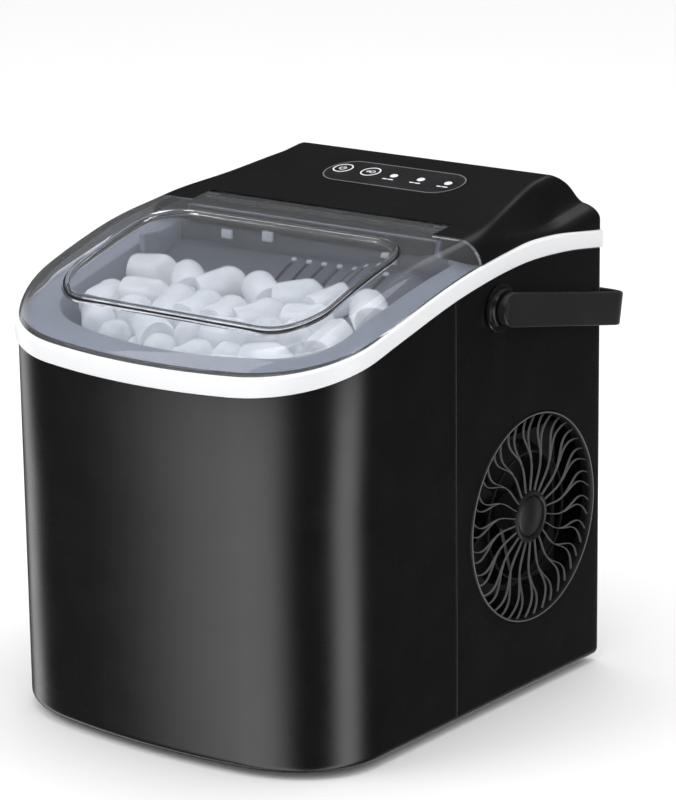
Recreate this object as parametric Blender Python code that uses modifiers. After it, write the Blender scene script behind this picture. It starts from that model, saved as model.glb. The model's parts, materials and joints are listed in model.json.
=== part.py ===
"""Countertop bullet ice maker: casing, clear lid, ice works, cooling circuit and carry handle.

The model stands on z = 0 with the middle of its box over the origin.
+X is the object's right side, -Y its front and +Z is up.  Units are metres.
"""
import math

import bmesh
import bpy
from mathutils import Matrix, Vector

NAME = "ice_maker"

# Casing: plan outline, walls and the gap that touching pieces keep
WIDTH = 0.222
DEPTH = 0.254
FRONT_BOW = 0.0155
FRONT_RADIUS = 0.052
REAR_RADIUS = 0.003
BOTTOM_ROUND = 0.005
WALL = 0.0025
GAP = 0.0003
CUT_CLEAR = 0.0001      # keeps a cutter's faces off the faces beside them
FOOT_HEIGHT = 0.003
SEAM_Y = -0.006
HALF_W = WIDTH / 2
HALF_D = DEPTH / 2

# Side view lines as (y, z): underside of the trim band, and top of lid and cover on the centre line
BAND_LINE = [(-0.160, 0.184), (-0.127, 0.1925), (-0.090, 0.2035), (-0.050, 0.2146), (0.0, 0.2268),
             (0.050, 0.2337), (0.090, 0.2333), (0.127, 0.2292), (0.160, 0.226)]
TOP_LINE = [(-0.160, 0.197), (-0.127, 0.210), (-0.105, 0.2185), (-0.084, 0.227), (-0.054, 0.2375),
            (-0.020, 0.2465), (0.020, 0.252), (0.060, 0.2573), (0.090, 0.2625), (0.127, 0.2685),
            (0.160, 0.273)]
BAND_HEIGHT = 0.0092
BAND_PROUD = 0.0015
BAND_DEPTH = 0.0026

# Top edge rounding, and the step down to the rear shoulders
EDGE_ROUND = 0.014
SHOULDER_DROP = 0.0165
SHOULDER_OUT = 0.010
SHOULDER_IN = 0.029
SHOULDER_START = 0.3
REAR_ROUND = 0.0135

# Lid: rear edges, hinge and window
LID_REAR_Y = 0.017
TAB_REAR_Y = 0.034
TAB_HALF_W = 0.080
LID_WALL = 0.0024
HINGE_R = 0.0032
HINGE_PIN_R = 0.0013
WINDOW_Y = (-0.097, -0.001)
WINDOW_HALF_W = 0.0845
WINDOW_R = 0.026
WINDOW_RISE = 0.003

# Ice chamber
TUB_INSET = 0.021
TUB_REAR_Y = 0.018
TUB_FLOOR_Z = 0.058
TUB_WALL = 0.0026
TUB_BACK_TOP = 0.2465
TUB_DRAIN_AT = (-0.070, -0.050)
FLANGE_LOW = 0.0035
FLANGE_HIGH = 0.0075
BASKET_INSET = 0.0245
BASKET_WALL = 0.002
BASKET_REAR_Y = -0.041
BASKET_Z = (0.098, 0.186)
BASKET_REAR_TOP = 0.172
TRAY_AXIS = (-0.009, 0.176)
TRAY_R = 0.024
TRAY_WALL = 0.002
TRAY_HALF_W = 0.068
TRAY_SHAFT_R = 0.003
TRAY_EAR_R = 0.006
FINGER_R = 0.0042
FINGER_LENGTH = 0.044
FINGER_PITCH = 0.028
FINGER_TOP = TRAY_AXIS[1] - 0.019 + FINGER_LENGTH
PIPE_X = 0.030
PIPE_R = 0.003
PIPE_Z = FINGER_TOP + 0.0035
PIPE_REAR_Y = 0.034
SHOVEL_AXIS = (-0.0375, 0.190)
SHOVEL_HEIGHT = 0.018
SHOVEL_HALF_W = 0.060
SHOVEL_SHAFT_R = 0.002
PUMP_AT = (0.050, -0.045)
PUMP_R = 0.019
PUMP_OUTLET_Z = 0.030
PLUG_AT = (-0.050, 0.022)
PLUG_R = 0.0052
HOOD_HALF_W = 0.0885
HOOD_Y = (-0.030, TUB_REAR_Y - GAP)
HOOD_Z = (0.2060, 0.2283)
HOOD_WALL = 0.002
HOOD_LIP = 0.004
HOOD_SLOT_Y = 0.0065
HOOD_SLOT_X = -0.008
HOOD_SLOT_PITCH = 0.0101

# Cooling circuit and mains lead in the rear bay
GLAND_AT = (0.085, 0.024)
GLAND_R = 0.0055
GRILLE_FACE = HALF_W - 0.0012
GRILLE_BACK = HALF_W - 0.0055
GRILLE_RIM = 0.0035
RIB_COUNT = 22
FAN_X = 0.086
FAN_AXIS = (0.0633, 0.095)
GRILLE_R = 0.0567
HUB_R = 0.014
FAN_R = 0.038
COMPRESSOR_AT = (-0.050, 0.076)
COMPRESSOR_R = 0.040

# Control panel on the sloping plateau
PANEL_AT = (0.005, 0.0845)
PANEL_SIZE = (0.090, 0.030)
PANEL_BOTTOM = -0.0013
PANEL_TOP = 0.0004
KEY_ROW_Y = 0.0015
BUTTON_X = (-0.0355, -0.0167)
BUTTON_R = 0.0062
LENS_X = (-0.001, 0.017, 0.0350)
LENS_R = 0.0023

# Carry handle
HANDLE_AXIS = (0.032, 0.2145)
HANDLE_TILT = math.radians(-10.7)
HANDLE_OUT = 0.121
HANDLE_THICK = 0.0046
HANDLE_WIDTH = 0.018
HANDLE_REACH = 0.1045
HANDLE_CORNER = 0.012
HANDLE_PIN_R = 0.004
BOSS_STEM_R = 0.0063


def handle_rear():
    """Rearmost y of the resting handle, in the body's own frame."""
    reach = HANDLE_REACH + HANDLE_THICK
    half = HANDLE_WIDTH / 2
    return HANDLE_AXIS[0] + reach * math.cos(HANDLE_TILT) + half * abs(math.sin(HANDLE_TILT))


BODY_Y = -(handle_rear() - (HALF_D + BAND_PROUD)) / 2


# ---------------------------------------------------------------- scene and materials

def clear_scene():
    for obj in list(bpy.data.objects):
        bpy.data.objects.remove(obj, do_unlink=True)


def new_collection(name):
    coll = bpy.data.collections.new(name)
    bpy.context.scene.collection.children.link(coll)
    return coll


clear_scene()
PARTS = new_collection(NAME)
CUTTERS = new_collection(NAME + "_cutters")
FRAME = bpy.data.objects.new(NAME + "_frame", None)
FRAME.location = (0, BODY_Y, FOOT_HEIGHT)
PARTS.objects.link(FRAME)


def material(name, color, roughness, metallic=0.0, alpha=1.0):
    mat = bpy.data.materials.new(name)
    mat.use_nodes = True
    shader = mat.node_tree.nodes["Principled BSDF"]
    shader.inputs["Base Color"].default_value = (*color, 1.0)
    shader.inputs["Roughness"].default_value = roughness
    shader.inputs["Metallic"].default_value = metallic
    shader.inputs["Alpha"].default_value = alpha
    return mat


BLACK = material("black_abs", (0.010, 0.010, 0.011), 0.28)
DARK = material("dark_plastic", (0.020, 0.020, 0.022), 0.45)
WHITE = material("white_trim", (0.86, 0.87, 0.89), 0.30)
CLEAR = material("clear_lid", (0.75, 0.78, 0.82), 0.05, alpha=0.35)
GREY = material("grey_tub", (0.42, 0.45, 0.51), 0.40)
STEEL = material("steel", (0.55, 0.55, 0.57), 0.30, 1.0)
COPPER = material("copper", (0.72, 0.38, 0.25), 0.30, 1.0)
FINS = material("aluminium_fins", (0.70, 0.71, 0.73), 0.35, 1.0)
RUBBER = material("rubber", (0.03, 0.03, 0.03), 0.80)
BOARD = material("circuit_board", (0.04, 0.16, 0.07), 0.50)
PUMP = material("pump_white", (0.75, 0.76, 0.78), 0.40)
FOAM = material("foam", (0.80, 0.78, 0.70), 0.90)
LENS = material("lens", (0.80, 0.83, 0.88), 0.15)


# ---------------------------------------------------------------- modelling helpers

def place(obj, mat=None):
    """Put an object under the frame: a part when it has a material, else a cutter."""
    coll = PARTS if mat else CUTTERS
    for old in list(obj.users_collection):
        old.objects.unlink(obj)
    coll.objects.link(obj)
    obj.parent = FRAME
    if mat:
        obj.data.materials.clear()
        obj.data.materials.append(mat)
    else:
        obj.hide_render = True
        obj.display_type = "WIRE"
    return obj


def mesh_object(name, bm, mat=None):
    bmesh.ops.recalc_face_normals(bm, faces=bm.faces[:])
    if bm.calc_volume(signed=True) < 0:
        bmesh.ops.reverse_faces(bm, faces=bm.faces[:])
    mesh = bpy.data.meshes.new(name)
    bm.to_mesh(mesh)
    bm.free()
    return place(bpy.data.objects.new(name, mesh), mat)


def box(name, low, high, mat=None):
    bm = bmesh.new()
    bmesh.ops.create_cube(bm, size=1.0)
    size = [b - a for a, b in zip(low, high)]
    middle = [(a + b) / 2 for a, b in zip(low, high)]
    bmesh.ops.scale(bm, vec=size, verts=bm.verts[:])
    bmesh.ops.translate(bm, vec=middle, verts=bm.verts[:])
    return mesh_object(name, bm, mat)


def cylinder(name, start, end, radius, mat=None, segments=24, radius_end=None):
    """A cylinder or cone whose end centres are start and end."""
    start, end = Vector(start), Vector(end)
    turn = Vector((0, 0, 1)).rotation_difference(end - start).to_matrix().to_4x4()
    at = Matrix.Translation((start + end) / 2) @ turn
    bm = bmesh.new()
    top = radius if radius_end is None else radius_end
    bmesh.ops.create_cone(bm, cap_ends=True, segments=segments, radius1=radius, radius2=top,
                          depth=(end - start).length, matrix=at)
    obj = mesh_object(name, bm, mat)
    obj.data.shade_smooth()
    obj.data.set_sharp_from_angle(angle=math.radians(40))
    return obj


def curve_to_mesh(obj, name, mat=None):
    """Turn a curve into a welded closed mesh object."""
    depsgraph = bpy.context.evaluated_depsgraph_get()
    mesh = bpy.data.meshes.new_from_object(obj.evaluated_get(depsgraph))
    matrix = obj.matrix_world.copy()
    bpy.data.objects.remove(obj, do_unlink=True)
    bm = bmesh.new()
    bm.from_mesh(mesh)
    bmesh.ops.remove_doubles(bm, verts=bm.verts[:], dist=1e-6)
    bm.transform(matrix)
    return mesh_object(name, bm, mat)


def flat_curve(points, thickness):
    """A filled outline in the local XY plane, as thick as stated along local Z."""
    curve = bpy.data.curves.new("outline", "CURVE")
    curve.dimensions = "2D"
    curve.fill_mode = "BOTH"
    curve.extrude = thickness / 2
    spline = curve.splines.new("POLY")
    spline.points.add(len(points) - 1)
    for point, (x, y) in zip(spline.points, points):
        point.co = (x, y, 0, 1)
    spline.use_cyclic_u = True
    obj = bpy.data.objects.new("outline", curve)
    bpy.context.scene.collection.objects.link(obj)
    return obj


def plan_prism(name, points, low, high, mat=None):
    """An outline in plan, from z = low to z = high."""
    obj = flat_curve(points, high - low)
    obj.location.z = (low + high) / 2
    bpy.context.view_layer.update()
    return curve_to_mesh(obj, name, mat)


def side_prism(name, points, low, high, mat=None):
    """An outline in the YZ plane, from x = low to x = high."""
    obj = flat_curve(points, high - low)
    obj.matrix_world = Matrix(((0, 0, 1, (low + high) / 2), (1, 0, 0, 0), (0, 1, 0, 0), (0, 0, 0, 1)))
    bpy.context.view_layer.update()
    return curve_to_mesh(obj, name, mat)


def tube(name, points, radius, mat=None, resolution=2):
    """A round tube along a list of points."""
    curve = bpy.data.curves.new(name, "CURVE")
    curve.dimensions = "3D"
    curve.bevel_depth = radius
    curve.bevel_resolution = resolution
    curve.use_fill_caps = True
    spline = curve.splines.new("POLY")
    spline.points.add(len(points) - 1)
    for point, co in zip(spline.points, points):
        point.co = (*co, 1)
    obj = bpy.data.objects.new(name, curve)
    bpy.context.scene.collection.objects.link(obj)
    bpy.context.view_layer.update()
    return curve_to_mesh(obj, name, mat)


def boolean(obj, cutter, operation):
    mod = obj.modifiers.new(operation.lower(), "BOOLEAN")
    mod.operation = operation
    mod.solver = "EXACT"
    mod.object = cutter
    if cutter.name not in CUTTERS.objects:
        place(cutter)
    return obj


def cut(obj, *cutters):
    for cutter in cutters:
        boolean(obj, cutter, "DIFFERENCE")
    return obj


def join(obj, *others):
    for other in others:
        boolean(obj, other, "UNION")
    return obj


def keep_inside(obj, *others):
    for other in others:
        boolean(obj, other, "INTERSECT")
    return obj


def turn_about(obj, point):
    """Move an object's origin to a point without moving its shape."""
    shift = Vector(point) - obj.location
    obj.data.transform(Matrix.Translation(-shift))
    obj.location = Vector(point)
    return obj


# ---------------------------------------------------------------- the casing's lines

def line_height(line, y):
    """Height of a side view line at y, smooth through its points."""
    count = len(line)
    for i in range(count - 1):
        if y <= line[i + 1][0] or i == count - 2:
            break
    slopes = []
    for k in (i, i + 1):
        a = line[max(k - 1, 0)]
        b = line[min(k + 1, count - 1)]
        slopes.append((b[1] - a[1]) / (b[0] - a[0]))
    (y0, z0), (y1, z1) = line[i], line[i + 1]
    span = y1 - y0
    t = (y - y0) / span
    return ((2 * t**3 - 3 * t**2 + 1) * z0 + (t**3 - 2 * t**2 + t) * span * slopes[0]
            + (3 * t**2 - 2 * t**3) * z1 + (t**3 - t**2) * span * slopes[1])


def arc(centre, radius, start, end, steps):
    """Points on an arc, angles in degrees."""
    points = []
    for i in range(steps + 1):
        angle = math.radians(start + (end - start) * i / steps)
        points.append((centre[0] + radius * math.cos(angle), centre[1] + radius * math.sin(angle)))
    return points


def bezier(p0, p1, p2, p3, steps):
    points = []
    for i in range(steps + 1):
        t = i / steps
        weights = ((1 - t)**3, 3 * t * (1 - t)**2, 3 * t * t * (1 - t), t**3)
        points.append(tuple(sum(w * p[k] for w, p in zip(weights, (p0, p1, p2, p3))) for k in (0, 1)))
    return points


def right_front(inset, corner_steps=7, front_steps=4, side_y=()):
    """Right half of the plan outline, from the side at each side_y round to the front's middle."""
    half_w = HALF_W - inset
    half_d = HALF_D - inset
    radius = max(FRONT_RADIUS - inset, 0.001)
    x1 = half_w - radius
    y1 = -(half_d - FRONT_BOW) - FRONT_BOW * (1 - (x1 / half_w)**2)
    slope = 2 * FRONT_BOW * x1 / half_w**2
    length = math.hypot(1, slope)
    pull = 0.5523 * radius
    start = (half_w, y1 + radius)
    corner = bezier(start, (half_w, start[1] - pull),
                    (x1 + pull / length, y1 + pull * slope / length), (x1, y1), corner_steps)
    front = []
    for i in range(1, front_steps + 1):
        x = x1 * (1 - i / front_steps)
        front.append((x, -(half_d - FRONT_BOW) - FRONT_BOW * (1 - (x / half_w)**2)))
    return [(half_w, y) for y in side_y] + corner + front


def mirrored(half):
    """Close a right half outline, from the rear to the middle, with its mirror image."""
    return half + [(-x, y) for x, y in reversed(half) if x > 1e-6]


def footprint(inset, rear=None):
    """The whole plan outline, inset by a distance, with its rear edge at y = rear."""
    rear = HALF_D - inset if rear is None else rear
    radius = max(REAR_RADIUS - inset, 0.0015)
    centre = (HALF_W - inset - radius, rear - radius)
    corner = arc(centre, radius, 90, 0, 4)
    return mirrored(corner + right_front(inset))


def slab_below(name, line, lift, margin=0.02):
    """A cutter that fills everything below a side view line raised by lift."""
    low, high = -HALF_D - margin, HALF_D + margin
    steps = 18
    ys = [low + (high - low) * i / steps for i in range(steps + 1)]
    points = [(low, -0.05)] + [(y, line_height(line, y) + lift) for y in ys] + [(high, -0.05)]
    return side_prism(name, points, -HALF_W - margin, HALF_W + margin)


def rounded_rectangle(x0, x1, y0, y1, radius, steps=5):
    return (arc((x1 - radius, y1 - radius), radius, 90, 0, steps)
            + arc((x1 - radius, y0 + radius), radius, 0, -90, steps)
            + arc((x0 + radius, y0 + radius), radius, -90, -180, steps)
            + arc((x0 + radius, y1 - radius), radius, 180, 90, steps))


# ---------------------------------------------------------------- casing

def cup_levels(inset, low, high, rounding, steps=3):
    """Plan outlines with their heights, for an upright wall that rounds in at its foot."""
    levels = []
    for i in range(steps + 1):
        angle = math.radians(90 * i / steps)
        levels.append((footprint(inset + rounding * (1 - math.sin(angle))),
                       low + rounding * (1 - math.cos(angle))))
    return levels + [(footprint(inset), high)]


def ring_stack(name, levels, mat=None):
    """A solid through plan outlines, each at its own height."""
    bm = bmesh.new()
    rings = [[bm.verts.new((x, y, z)) for x, y in points] for points, z in levels]
    for lower, upper in zip(rings, rings[1:]):
        for i in range(len(lower)):
            j = (i + 1) % len(lower)
            bm.faces.new((lower[i], lower[j], upper[j], upper[i]))
    bm.faces.new(rings[0][::-1])
    bm.faces.new(rings[-1])
    return mesh_object(name, bm, mat)


def hollow_case(name, mat):
    """The casing before it is split: a cup with a rounded bottom edge, open above."""
    top = 0.25
    outer = ring_stack(name, cup_levels(0, 0, top, BOTTOM_ROUND), mat)
    inner = ring_stack(name + "_hollow", cup_levels(WALL, WALL, top + 0.03, BOTTOM_ROUND - WALL))
    floor = plan_prism(name + "_floor_hole", footprint(0.014), -0.01, 0.01)
    cut(outer, inner, floor)
    return keep_inside(outer, slab_below(name + "_top", BAND_LINE, -GAP))


def make_front_shell():
    shell = hollow_case("front_shell", BLACK)
    cut(shell, box("front_shell_split", (-0.2, SEAM_Y, -0.1), (0.2, 0.3, 0.4)),
        cylinder("drain_hole", (-HALF_W - 0.01, *PLUG_AT), (-HALF_W + 0.01, *PLUG_AT), PLUG_R + 0.0004))


def vent_slots(name, centre, along, count, pitch, size):
    """Upright slots through a wall: centre of the group, axis they are spaced along, and size."""
    slots = []
    for i in range(count):
        at = list(centre)
        at[along] += (i - (count - 1) / 2) * pitch
        low = [a - s / 2 for a, s in zip(at, size)]
        high = [a + s / 2 for a, s in zip(at, size)]
        slots.append(box(f"{name}_{i}", low, high))
    return slots


def make_rear_shell():
    shell = hollow_case("rear_shell", BLACK)
    y, z = FAN_AXIS
    cut(shell, box("rear_shell_split", (-0.2, -0.3, -0.1), (0.2, SEAM_Y + GAP, 0.4)),
        cylinder("grille_hole", (HALF_W - 0.01, y, z), (HALF_W + 0.01, y, z), GRILLE_R + GAP, segments=48))
    cut(shell, *vent_slots("left_slot", (-HALF_W, 0.068, 0.110), 1, 9, 0.009, (0.02, 0.004, 0.070)))
    cut(shell, *vent_slots("back_slot", (0.030, HALF_D, 0.100), 0, 9, 0.009, (0.004, 0.03, 0.090)))
    x, z = GLAND_AT
    cut(shell, cylinder("gland_hole", (x, HALF_D - 0.01, z), (x, HALF_D + 0.01, z), GLAND_R + GAP))
    for side in (-1, 1):
        y, z = HANDLE_AXIS
        cut(shell, cylinder(f"boss_hole_{side}", (side * (HALF_W - 0.01), y, z),
                            (side * (HALF_W + 0.01), y, z), BOSS_STEM_R + GAP))


def make_base_plate():
    plate = plan_prism("base_plate", footprint(0.014 + GAP), 0, 0.0025, DARK)
    holes = vent_slots("base_slot", (0.045, 0.060, 0), 0, 7, 0.009, (0.004, 0.070, 0.02))
    cut(plate, *holes)


def make_feet():
    for x in (-0.080, 0.080):
        for y in (-0.080, 0.104):
            side = "left" if x < 0 else "right"
            end = "front" if y < 0 else "rear"
            foot = cylinder(f"foot_{end}_{side}", (x, y, -FOOT_HEIGHT), (x, y, -GAP), 0.0085, RUBBER,
                            segments=20, radius_end=0.0095)
            turn_about(foot, (x, y, -FOOT_HEIGHT))


def make_trim_band():
    band = plan_prism("trim_band", footprint(-BAND_PROUD), 0.15, 0.26, WHITE)
    keep_inside(band, slab_below("band_top", BAND_LINE, BAND_HEIGHT))
    cut(band, slab_below("band_bottom", BAND_LINE, 0),
        plan_prism("band_hollow", footprint(BAND_DEPTH), 0.14, 0.27))


def side_drop(inset, y):
    """How far the top surface lies below its centre line, at a distance in from the side."""
    drop = 0.0
    if inset < EDGE_ROUND:
        drop = EDGE_ROUND - math.sqrt(EDGE_ROUND**2 - (EDGE_ROUND - inset)**2)
    fade = min(max((y - LID_REAR_Y) / 0.085, 0), 1)
    step = SHOULDER_DROP * fade * fade * (3 - 2 * fade)
    reach = SHOULDER_START + (1 - SHOULDER_START) * fade
    t = min(max((inset / reach - SHOULDER_OUT) / (SHOULDER_IN - SHOULDER_OUT), 0), 1)
    drop = drop * (1 - 0.45 * fade) + step * (1 - t * t * (3 - 2 * t))
    return drop


EDGE_INSETS = [0, 0.0007, 0.0030, 0.007, 0.0105, 0.014, 0.018, 0.022, 0.026, 0.030]


def top_form(name, shrink, low, mat=None, side_y=None):
    """The solid under the top surface of lid and cover, shrunk by a wall all round."""
    side_y = side_y or [HALF_D + 0.013 - 0.0155 * i for i in range(9)]
    bm = bmesh.new()
    rings = []
    for level, inset in enumerate([0] + EDGE_INSETS):
        half = right_front(inset + shrink, side_y=side_y)
        ring = []
        for x, y in mirrored(half):
            z = low if level == 0 else line_height(TOP_LINE, y) - side_drop(inset, y) - shrink
            ring.append(bm.verts.new((x, y, z)))
        rings.append(ring)
    for lower, upper in zip(rings, rings[1:]):
        for i in range(len(lower)):
            j = (i + 1) % len(lower)
            bm.faces.new((lower[i], lower[j], upper[j], upper[i]))
    bm.faces.new(rings[0][::-1])
    top = rings[-1]
    middle = len(top) // 2
    for i in range(middle):
        left_i, left_j = len(top) - 1 - i, len(top) - 2 - i
        if left_j == i + 1:
            bm.faces.new((top[i], top[i + 1], top[left_i]))
        elif left_j > i + 1:
            bm.faces.new((top[i], top[i + 1], top[left_j], top[left_i]))
    return mesh_object(name, bm, mat)


def rear_form(name, shrink):
    """Side view outline that gives the top cover its rounded rear edge."""
    rear = HALF_D - shrink
    radius = REAR_ROUND - shrink
    top = line_height(TOP_LINE, rear - radius) - shrink
    points = [(-0.3, 0.1), (rear, 0.1)] + arc((rear - radius, top - radius), radius, 0, 80, 7)
    return side_prism(name, points + [(rear - radius, 0.4), (-0.3, 0.4)], -0.2, 0.2)


def cover_zone(name, gap):
    """Plan outline of the top cover: all behind the lid's stepped rear edge."""
    front, tab, half = LID_REAR_Y + gap, TAB_REAR_Y + gap, TAB_HALF_W + gap
    points = [(-0.15, front), (-half, front), (-half, tab), (half, tab), (half, front),
              (0.15, front), (0.15, 0.2), (-0.15, 0.2)]
    return plan_prism(name, points, 0.1, 0.4)


def make_top_cover():
    cover = top_form("top_cover", 0, 0.2, BLACK)
    inner = top_form("cover_hollow", WALL, 0.19)
    keep_inside(cover, cover_zone("cover_zone", GAP), rear_form("cover_rear", 0),
                plan_prism("cover_plan", footprint(-CUT_CLEAR), 0.1, 0.4))
    keep_inside(inner, rear_form("cover_hollow_rear", WALL),
                plan_prism("cover_hollow_plan", footprint(WALL - CUT_CLEAR), 0.1, 0.4))
    cut(cover, inner, slab_below("cover_bottom", BAND_LINE, BAND_HEIGHT + GAP))
    add_hinge_cheeks(cover)
    cut_panel_recess(cover)


# ---------------------------------------------------------------- lid

def top_z(y):
    return line_height(TOP_LINE, y)


HINGE_Y = TAB_REAR_Y - HINGE_R
HINGE_Z = top_z(HINGE_Y) - HINGE_R
HINGE_POINT = (0, HINGE_Y, HINGE_Z)


def window_outline(grow=0.0):
    y0, y1 = WINDOW_Y
    half = WINDOW_HALF_W + grow
    return rounded_rectangle(-half, half, y0 - grow, y1 + grow, WINDOW_R + grow, 6)


def lid_zone(name):
    """Plan outline of the lid: all in front of the top cover's stepped front edge."""
    half, tab = TAB_HALF_W, HINGE_Y
    points = [(-0.15, -0.2), (0.15, -0.2), (0.15, LID_REAR_Y), (half, LID_REAR_Y), (half, tab),
              (-half, tab), (-half, LID_REAR_Y), (-0.15, LID_REAR_Y)]
    return plan_prism(name, points, 0.1, 0.4)


def make_lid_shell():
    side_y = [0.040, 0.017, -0.006, -0.029, -0.050]
    lid = top_form("lid_shell", 0, 0.18, CLEAR, side_y)
    cut(lid, top_form("lid_hollow", LID_WALL, 0.17, side_y=side_y),
        slab_below("lid_bottom", BAND_LINE, BAND_HEIGHT + GAP))
    barrel = cylinder("lid_barrel", (-TAB_HALF_W, HINGE_Y, HINGE_Z), (TAB_HALF_W, HINGE_Y, HINGE_Z),
                      HINGE_R, segments=16)
    keep_inside(lid, lid_zone("lid_zone"))
    join(lid, barrel)
    cut(lid, plan_prism("window_hole", window_outline(0.0016), 0.1, 0.4))
    for side in (-1, 1):
        cut(lid, cylinder(f"pin_hole_{side}", (side * 0.070, HINGE_Y, HINGE_Z),
                          (side * 0.085, HINGE_Y, HINGE_Z), HINGE_PIN_R + GAP, segments=12))
    turn_about(lid, HINGE_POINT)


def make_lid_window():
    window = plan_prism("lid_window", window_outline(), 0.15, 0.30, CLEAR)
    keep_inside(window, slab_below("window_top", TOP_LINE, WINDOW_RISE))
    hollow = plan_prism("window_hollow", window_outline(-LID_WALL), 0.14, 0.31)
    keep_inside(hollow, slab_below("window_under", TOP_LINE, WINDOW_RISE - LID_WALL))
    cut(window, slab_below("window_bottom", TOP_LINE, -LID_WALL), hollow)
    turn_about(window, HINGE_POINT)


def make_window_seal():
    seal = plan_prism("window_seal", window_outline(0.0013), 0.15, 0.30, RUBBER)
    keep_inside(seal, slab_below("seal_top", TOP_LINE, 0.0004))
    cut(seal, slab_below("seal_bottom", TOP_LINE, -LID_WALL),
        plan_prism("seal_hollow", window_outline(GAP), 0.14, 0.31))
    turn_about(seal, HINGE_POINT)


def make_hinge_pins():
    for side, label in ((-1, "left"), (1, "right")):
        cylinder(f"lid_hinge_pin_{label}", (side * 0.0715, HINGE_Y, HINGE_Z),
                 (side * 0.0865, HINGE_Y, HINGE_Z), HINGE_PIN_R, STEEL, segments=12)


def add_hinge_cheeks(cover):
    """Blocks inside the cover, beside the lid's tab, that hold the hinge pins."""
    for side in (-1, 1):
        low, high = sorted((side * (TAB_HALF_W + GAP), side * 0.088))
        join(cover, box(f"cheek_{side}", (low, 0.0255, HINGE_Z - 0.0045), (high, 0.0385, HINGE_Z + 0.0016)))
        cut(cover, cylinder(f"cheek_hole_{side}", (side * 0.079, HINGE_Y, HINGE_Z),
                            (side * 0.0870, HINGE_Y, HINGE_Z), HINGE_PIN_R + GAP, segments=12))


# ---------------------------------------------------------------- ice chamber

def make_ice_tub():
    tub = plan_prism("ice_tub", footprint(TUB_INSET - TUB_WALL, rear=TUB_REAR_Y + TUB_WALL),
                     TUB_FLOOR_Z - TUB_WALL, 0.25, GREY)
    flange = plan_prism("tub_flange", footprint(BAND_DEPTH + GAP, rear=TUB_REAR_Y + TUB_WALL), 0.15, 0.26)
    cut(flange, slab_below("flange_under", BAND_LINE, FLANGE_LOW))
    join(tub, flange)
    keep_inside(tub, slab_below("flange_top", BAND_LINE, FLANGE_HIGH))
    join(tub, box("tub_back", (-0.084, TUB_REAR_Y, 0.20), (0.084, TUB_REAR_Y + TUB_WALL, TUB_BACK_TOP)))
    cut(tub, plan_prism("tub_hollow", footprint(TUB_INSET, rear=TUB_REAR_Y), TUB_FLOOR_Z, 0.30))
    for side in (-1, 1):
        low, high = sorted((side * 0.0835, side * (HALF_W - TUB_INSET + 0.001)))
        foot = BASKET_Z[0]
        join(tub, box(f"ledge_{side}", (low, -0.078, foot - 0.004), (high, -0.046, foot - GAP)))
        for (y, z), radius in ((TRAY_AXIS, TRAY_SHAFT_R + 0.0004), (SHOVEL_AXIS, SHOVEL_SHAFT_R + 0.0004)):
            cut(tub, cylinder(f"shaft_hole_{side}_{radius}", (side * 0.080, y, z),
                              (side * 0.100, y, z), radius, segments=16))
        cut(tub, cylinder(f"pipe_hole_{side}", (side * PIPE_X, 0, PIPE_Z), (side * PIPE_X, 0.03, PIPE_Z),
                          PIPE_R + 2 * GAP, segments=16))
    cut(tub, cylinder("tub_drain", (*TUB_DRAIN_AT, 0.05), (*TUB_DRAIN_AT, 0.062), 0.0036, segments=16))


def make_insulation():
    top = TUB_FLOOR_Z - TUB_WALL - GAP
    pad = plan_prism("tub_insulation", footprint(0.030, rear=0.012), 0.043, top, FOAM)
    cut(pad, cylinder("pad_drain", (*TUB_DRAIN_AT, 0.03), (*TUB_DRAIN_AT, 0.062), 0.0060, segments=16))


def make_ice_basket():
    low, high = BASKET_Z
    inside = footprint(BASKET_INSET + BASKET_WALL, rear=BASKET_REAR_Y - BASKET_WALL)
    basket = plan_prism("ice_basket", footprint(BASKET_INSET, rear=BASKET_REAR_Y), low, high, GREY)
    cut(basket, plan_prism("basket_hollow", inside, low + BASKET_WALL, high + 0.1),
        side_prism("basket_rim", [(-0.13, high + 0.05), (-0.13, high), (-0.075, high - 0.002),
                                  (-0.055, BASKET_REAR_TOP + 0.002), (-0.03, BASKET_REAR_TOP),
                                  (-0.03, high + 0.05)], -0.1, 0.1))
    cut(basket, *vent_slots("basket_front_slot", (0, -0.100, 0.140), 0, 7, 0.018, (0.005, 0.030, 0.056)))
    cut(basket, *vent_slots("basket_floor_slot", (0, -0.070, low), 0, 7, 0.020, (0.006, 0.036, 0.02)))
    for side in (-1, 1):
        cut(basket, *vent_slots(f"basket_side_slot_{side}", (side * 0.086, -0.060, 0.135), 1, 3, 0.012,
                                (0.012, 0.005, 0.044)))
    turn_about(basket, (0, -0.071, low))


def make_evaporator():
    y, top = TRAY_AXIS[0], FINGER_TOP
    bar = box("evaporator", (-0.063, y - 0.0115, top - 0.0005), (0.063, y + 0.0115, top + 0.0065), COPPER)
    rows = [(-0.0065, 5), (0.0065, 4)]
    for offset, count in rows:
        for i in range(count):
            x = (i - (count - 1) / 2) * FINGER_PITCH
            root, tip = (x, y + offset, top), (x, y + offset, top - FINGER_LENGTH)
            join(bar, cylinder(f"finger_{count}_{i}", root, tip, FINGER_R, segments=10,
                               radius_end=FINGER_R * 0.8))
    for side in (-1, 1):
        join(bar, cylinder(f"evaporator_pipe_{side}", (side * PIPE_X, y, PIPE_Z),
                           (side * PIPE_X, PIPE_REAR_Y, PIPE_Z), PIPE_R, segments=10))


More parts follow.
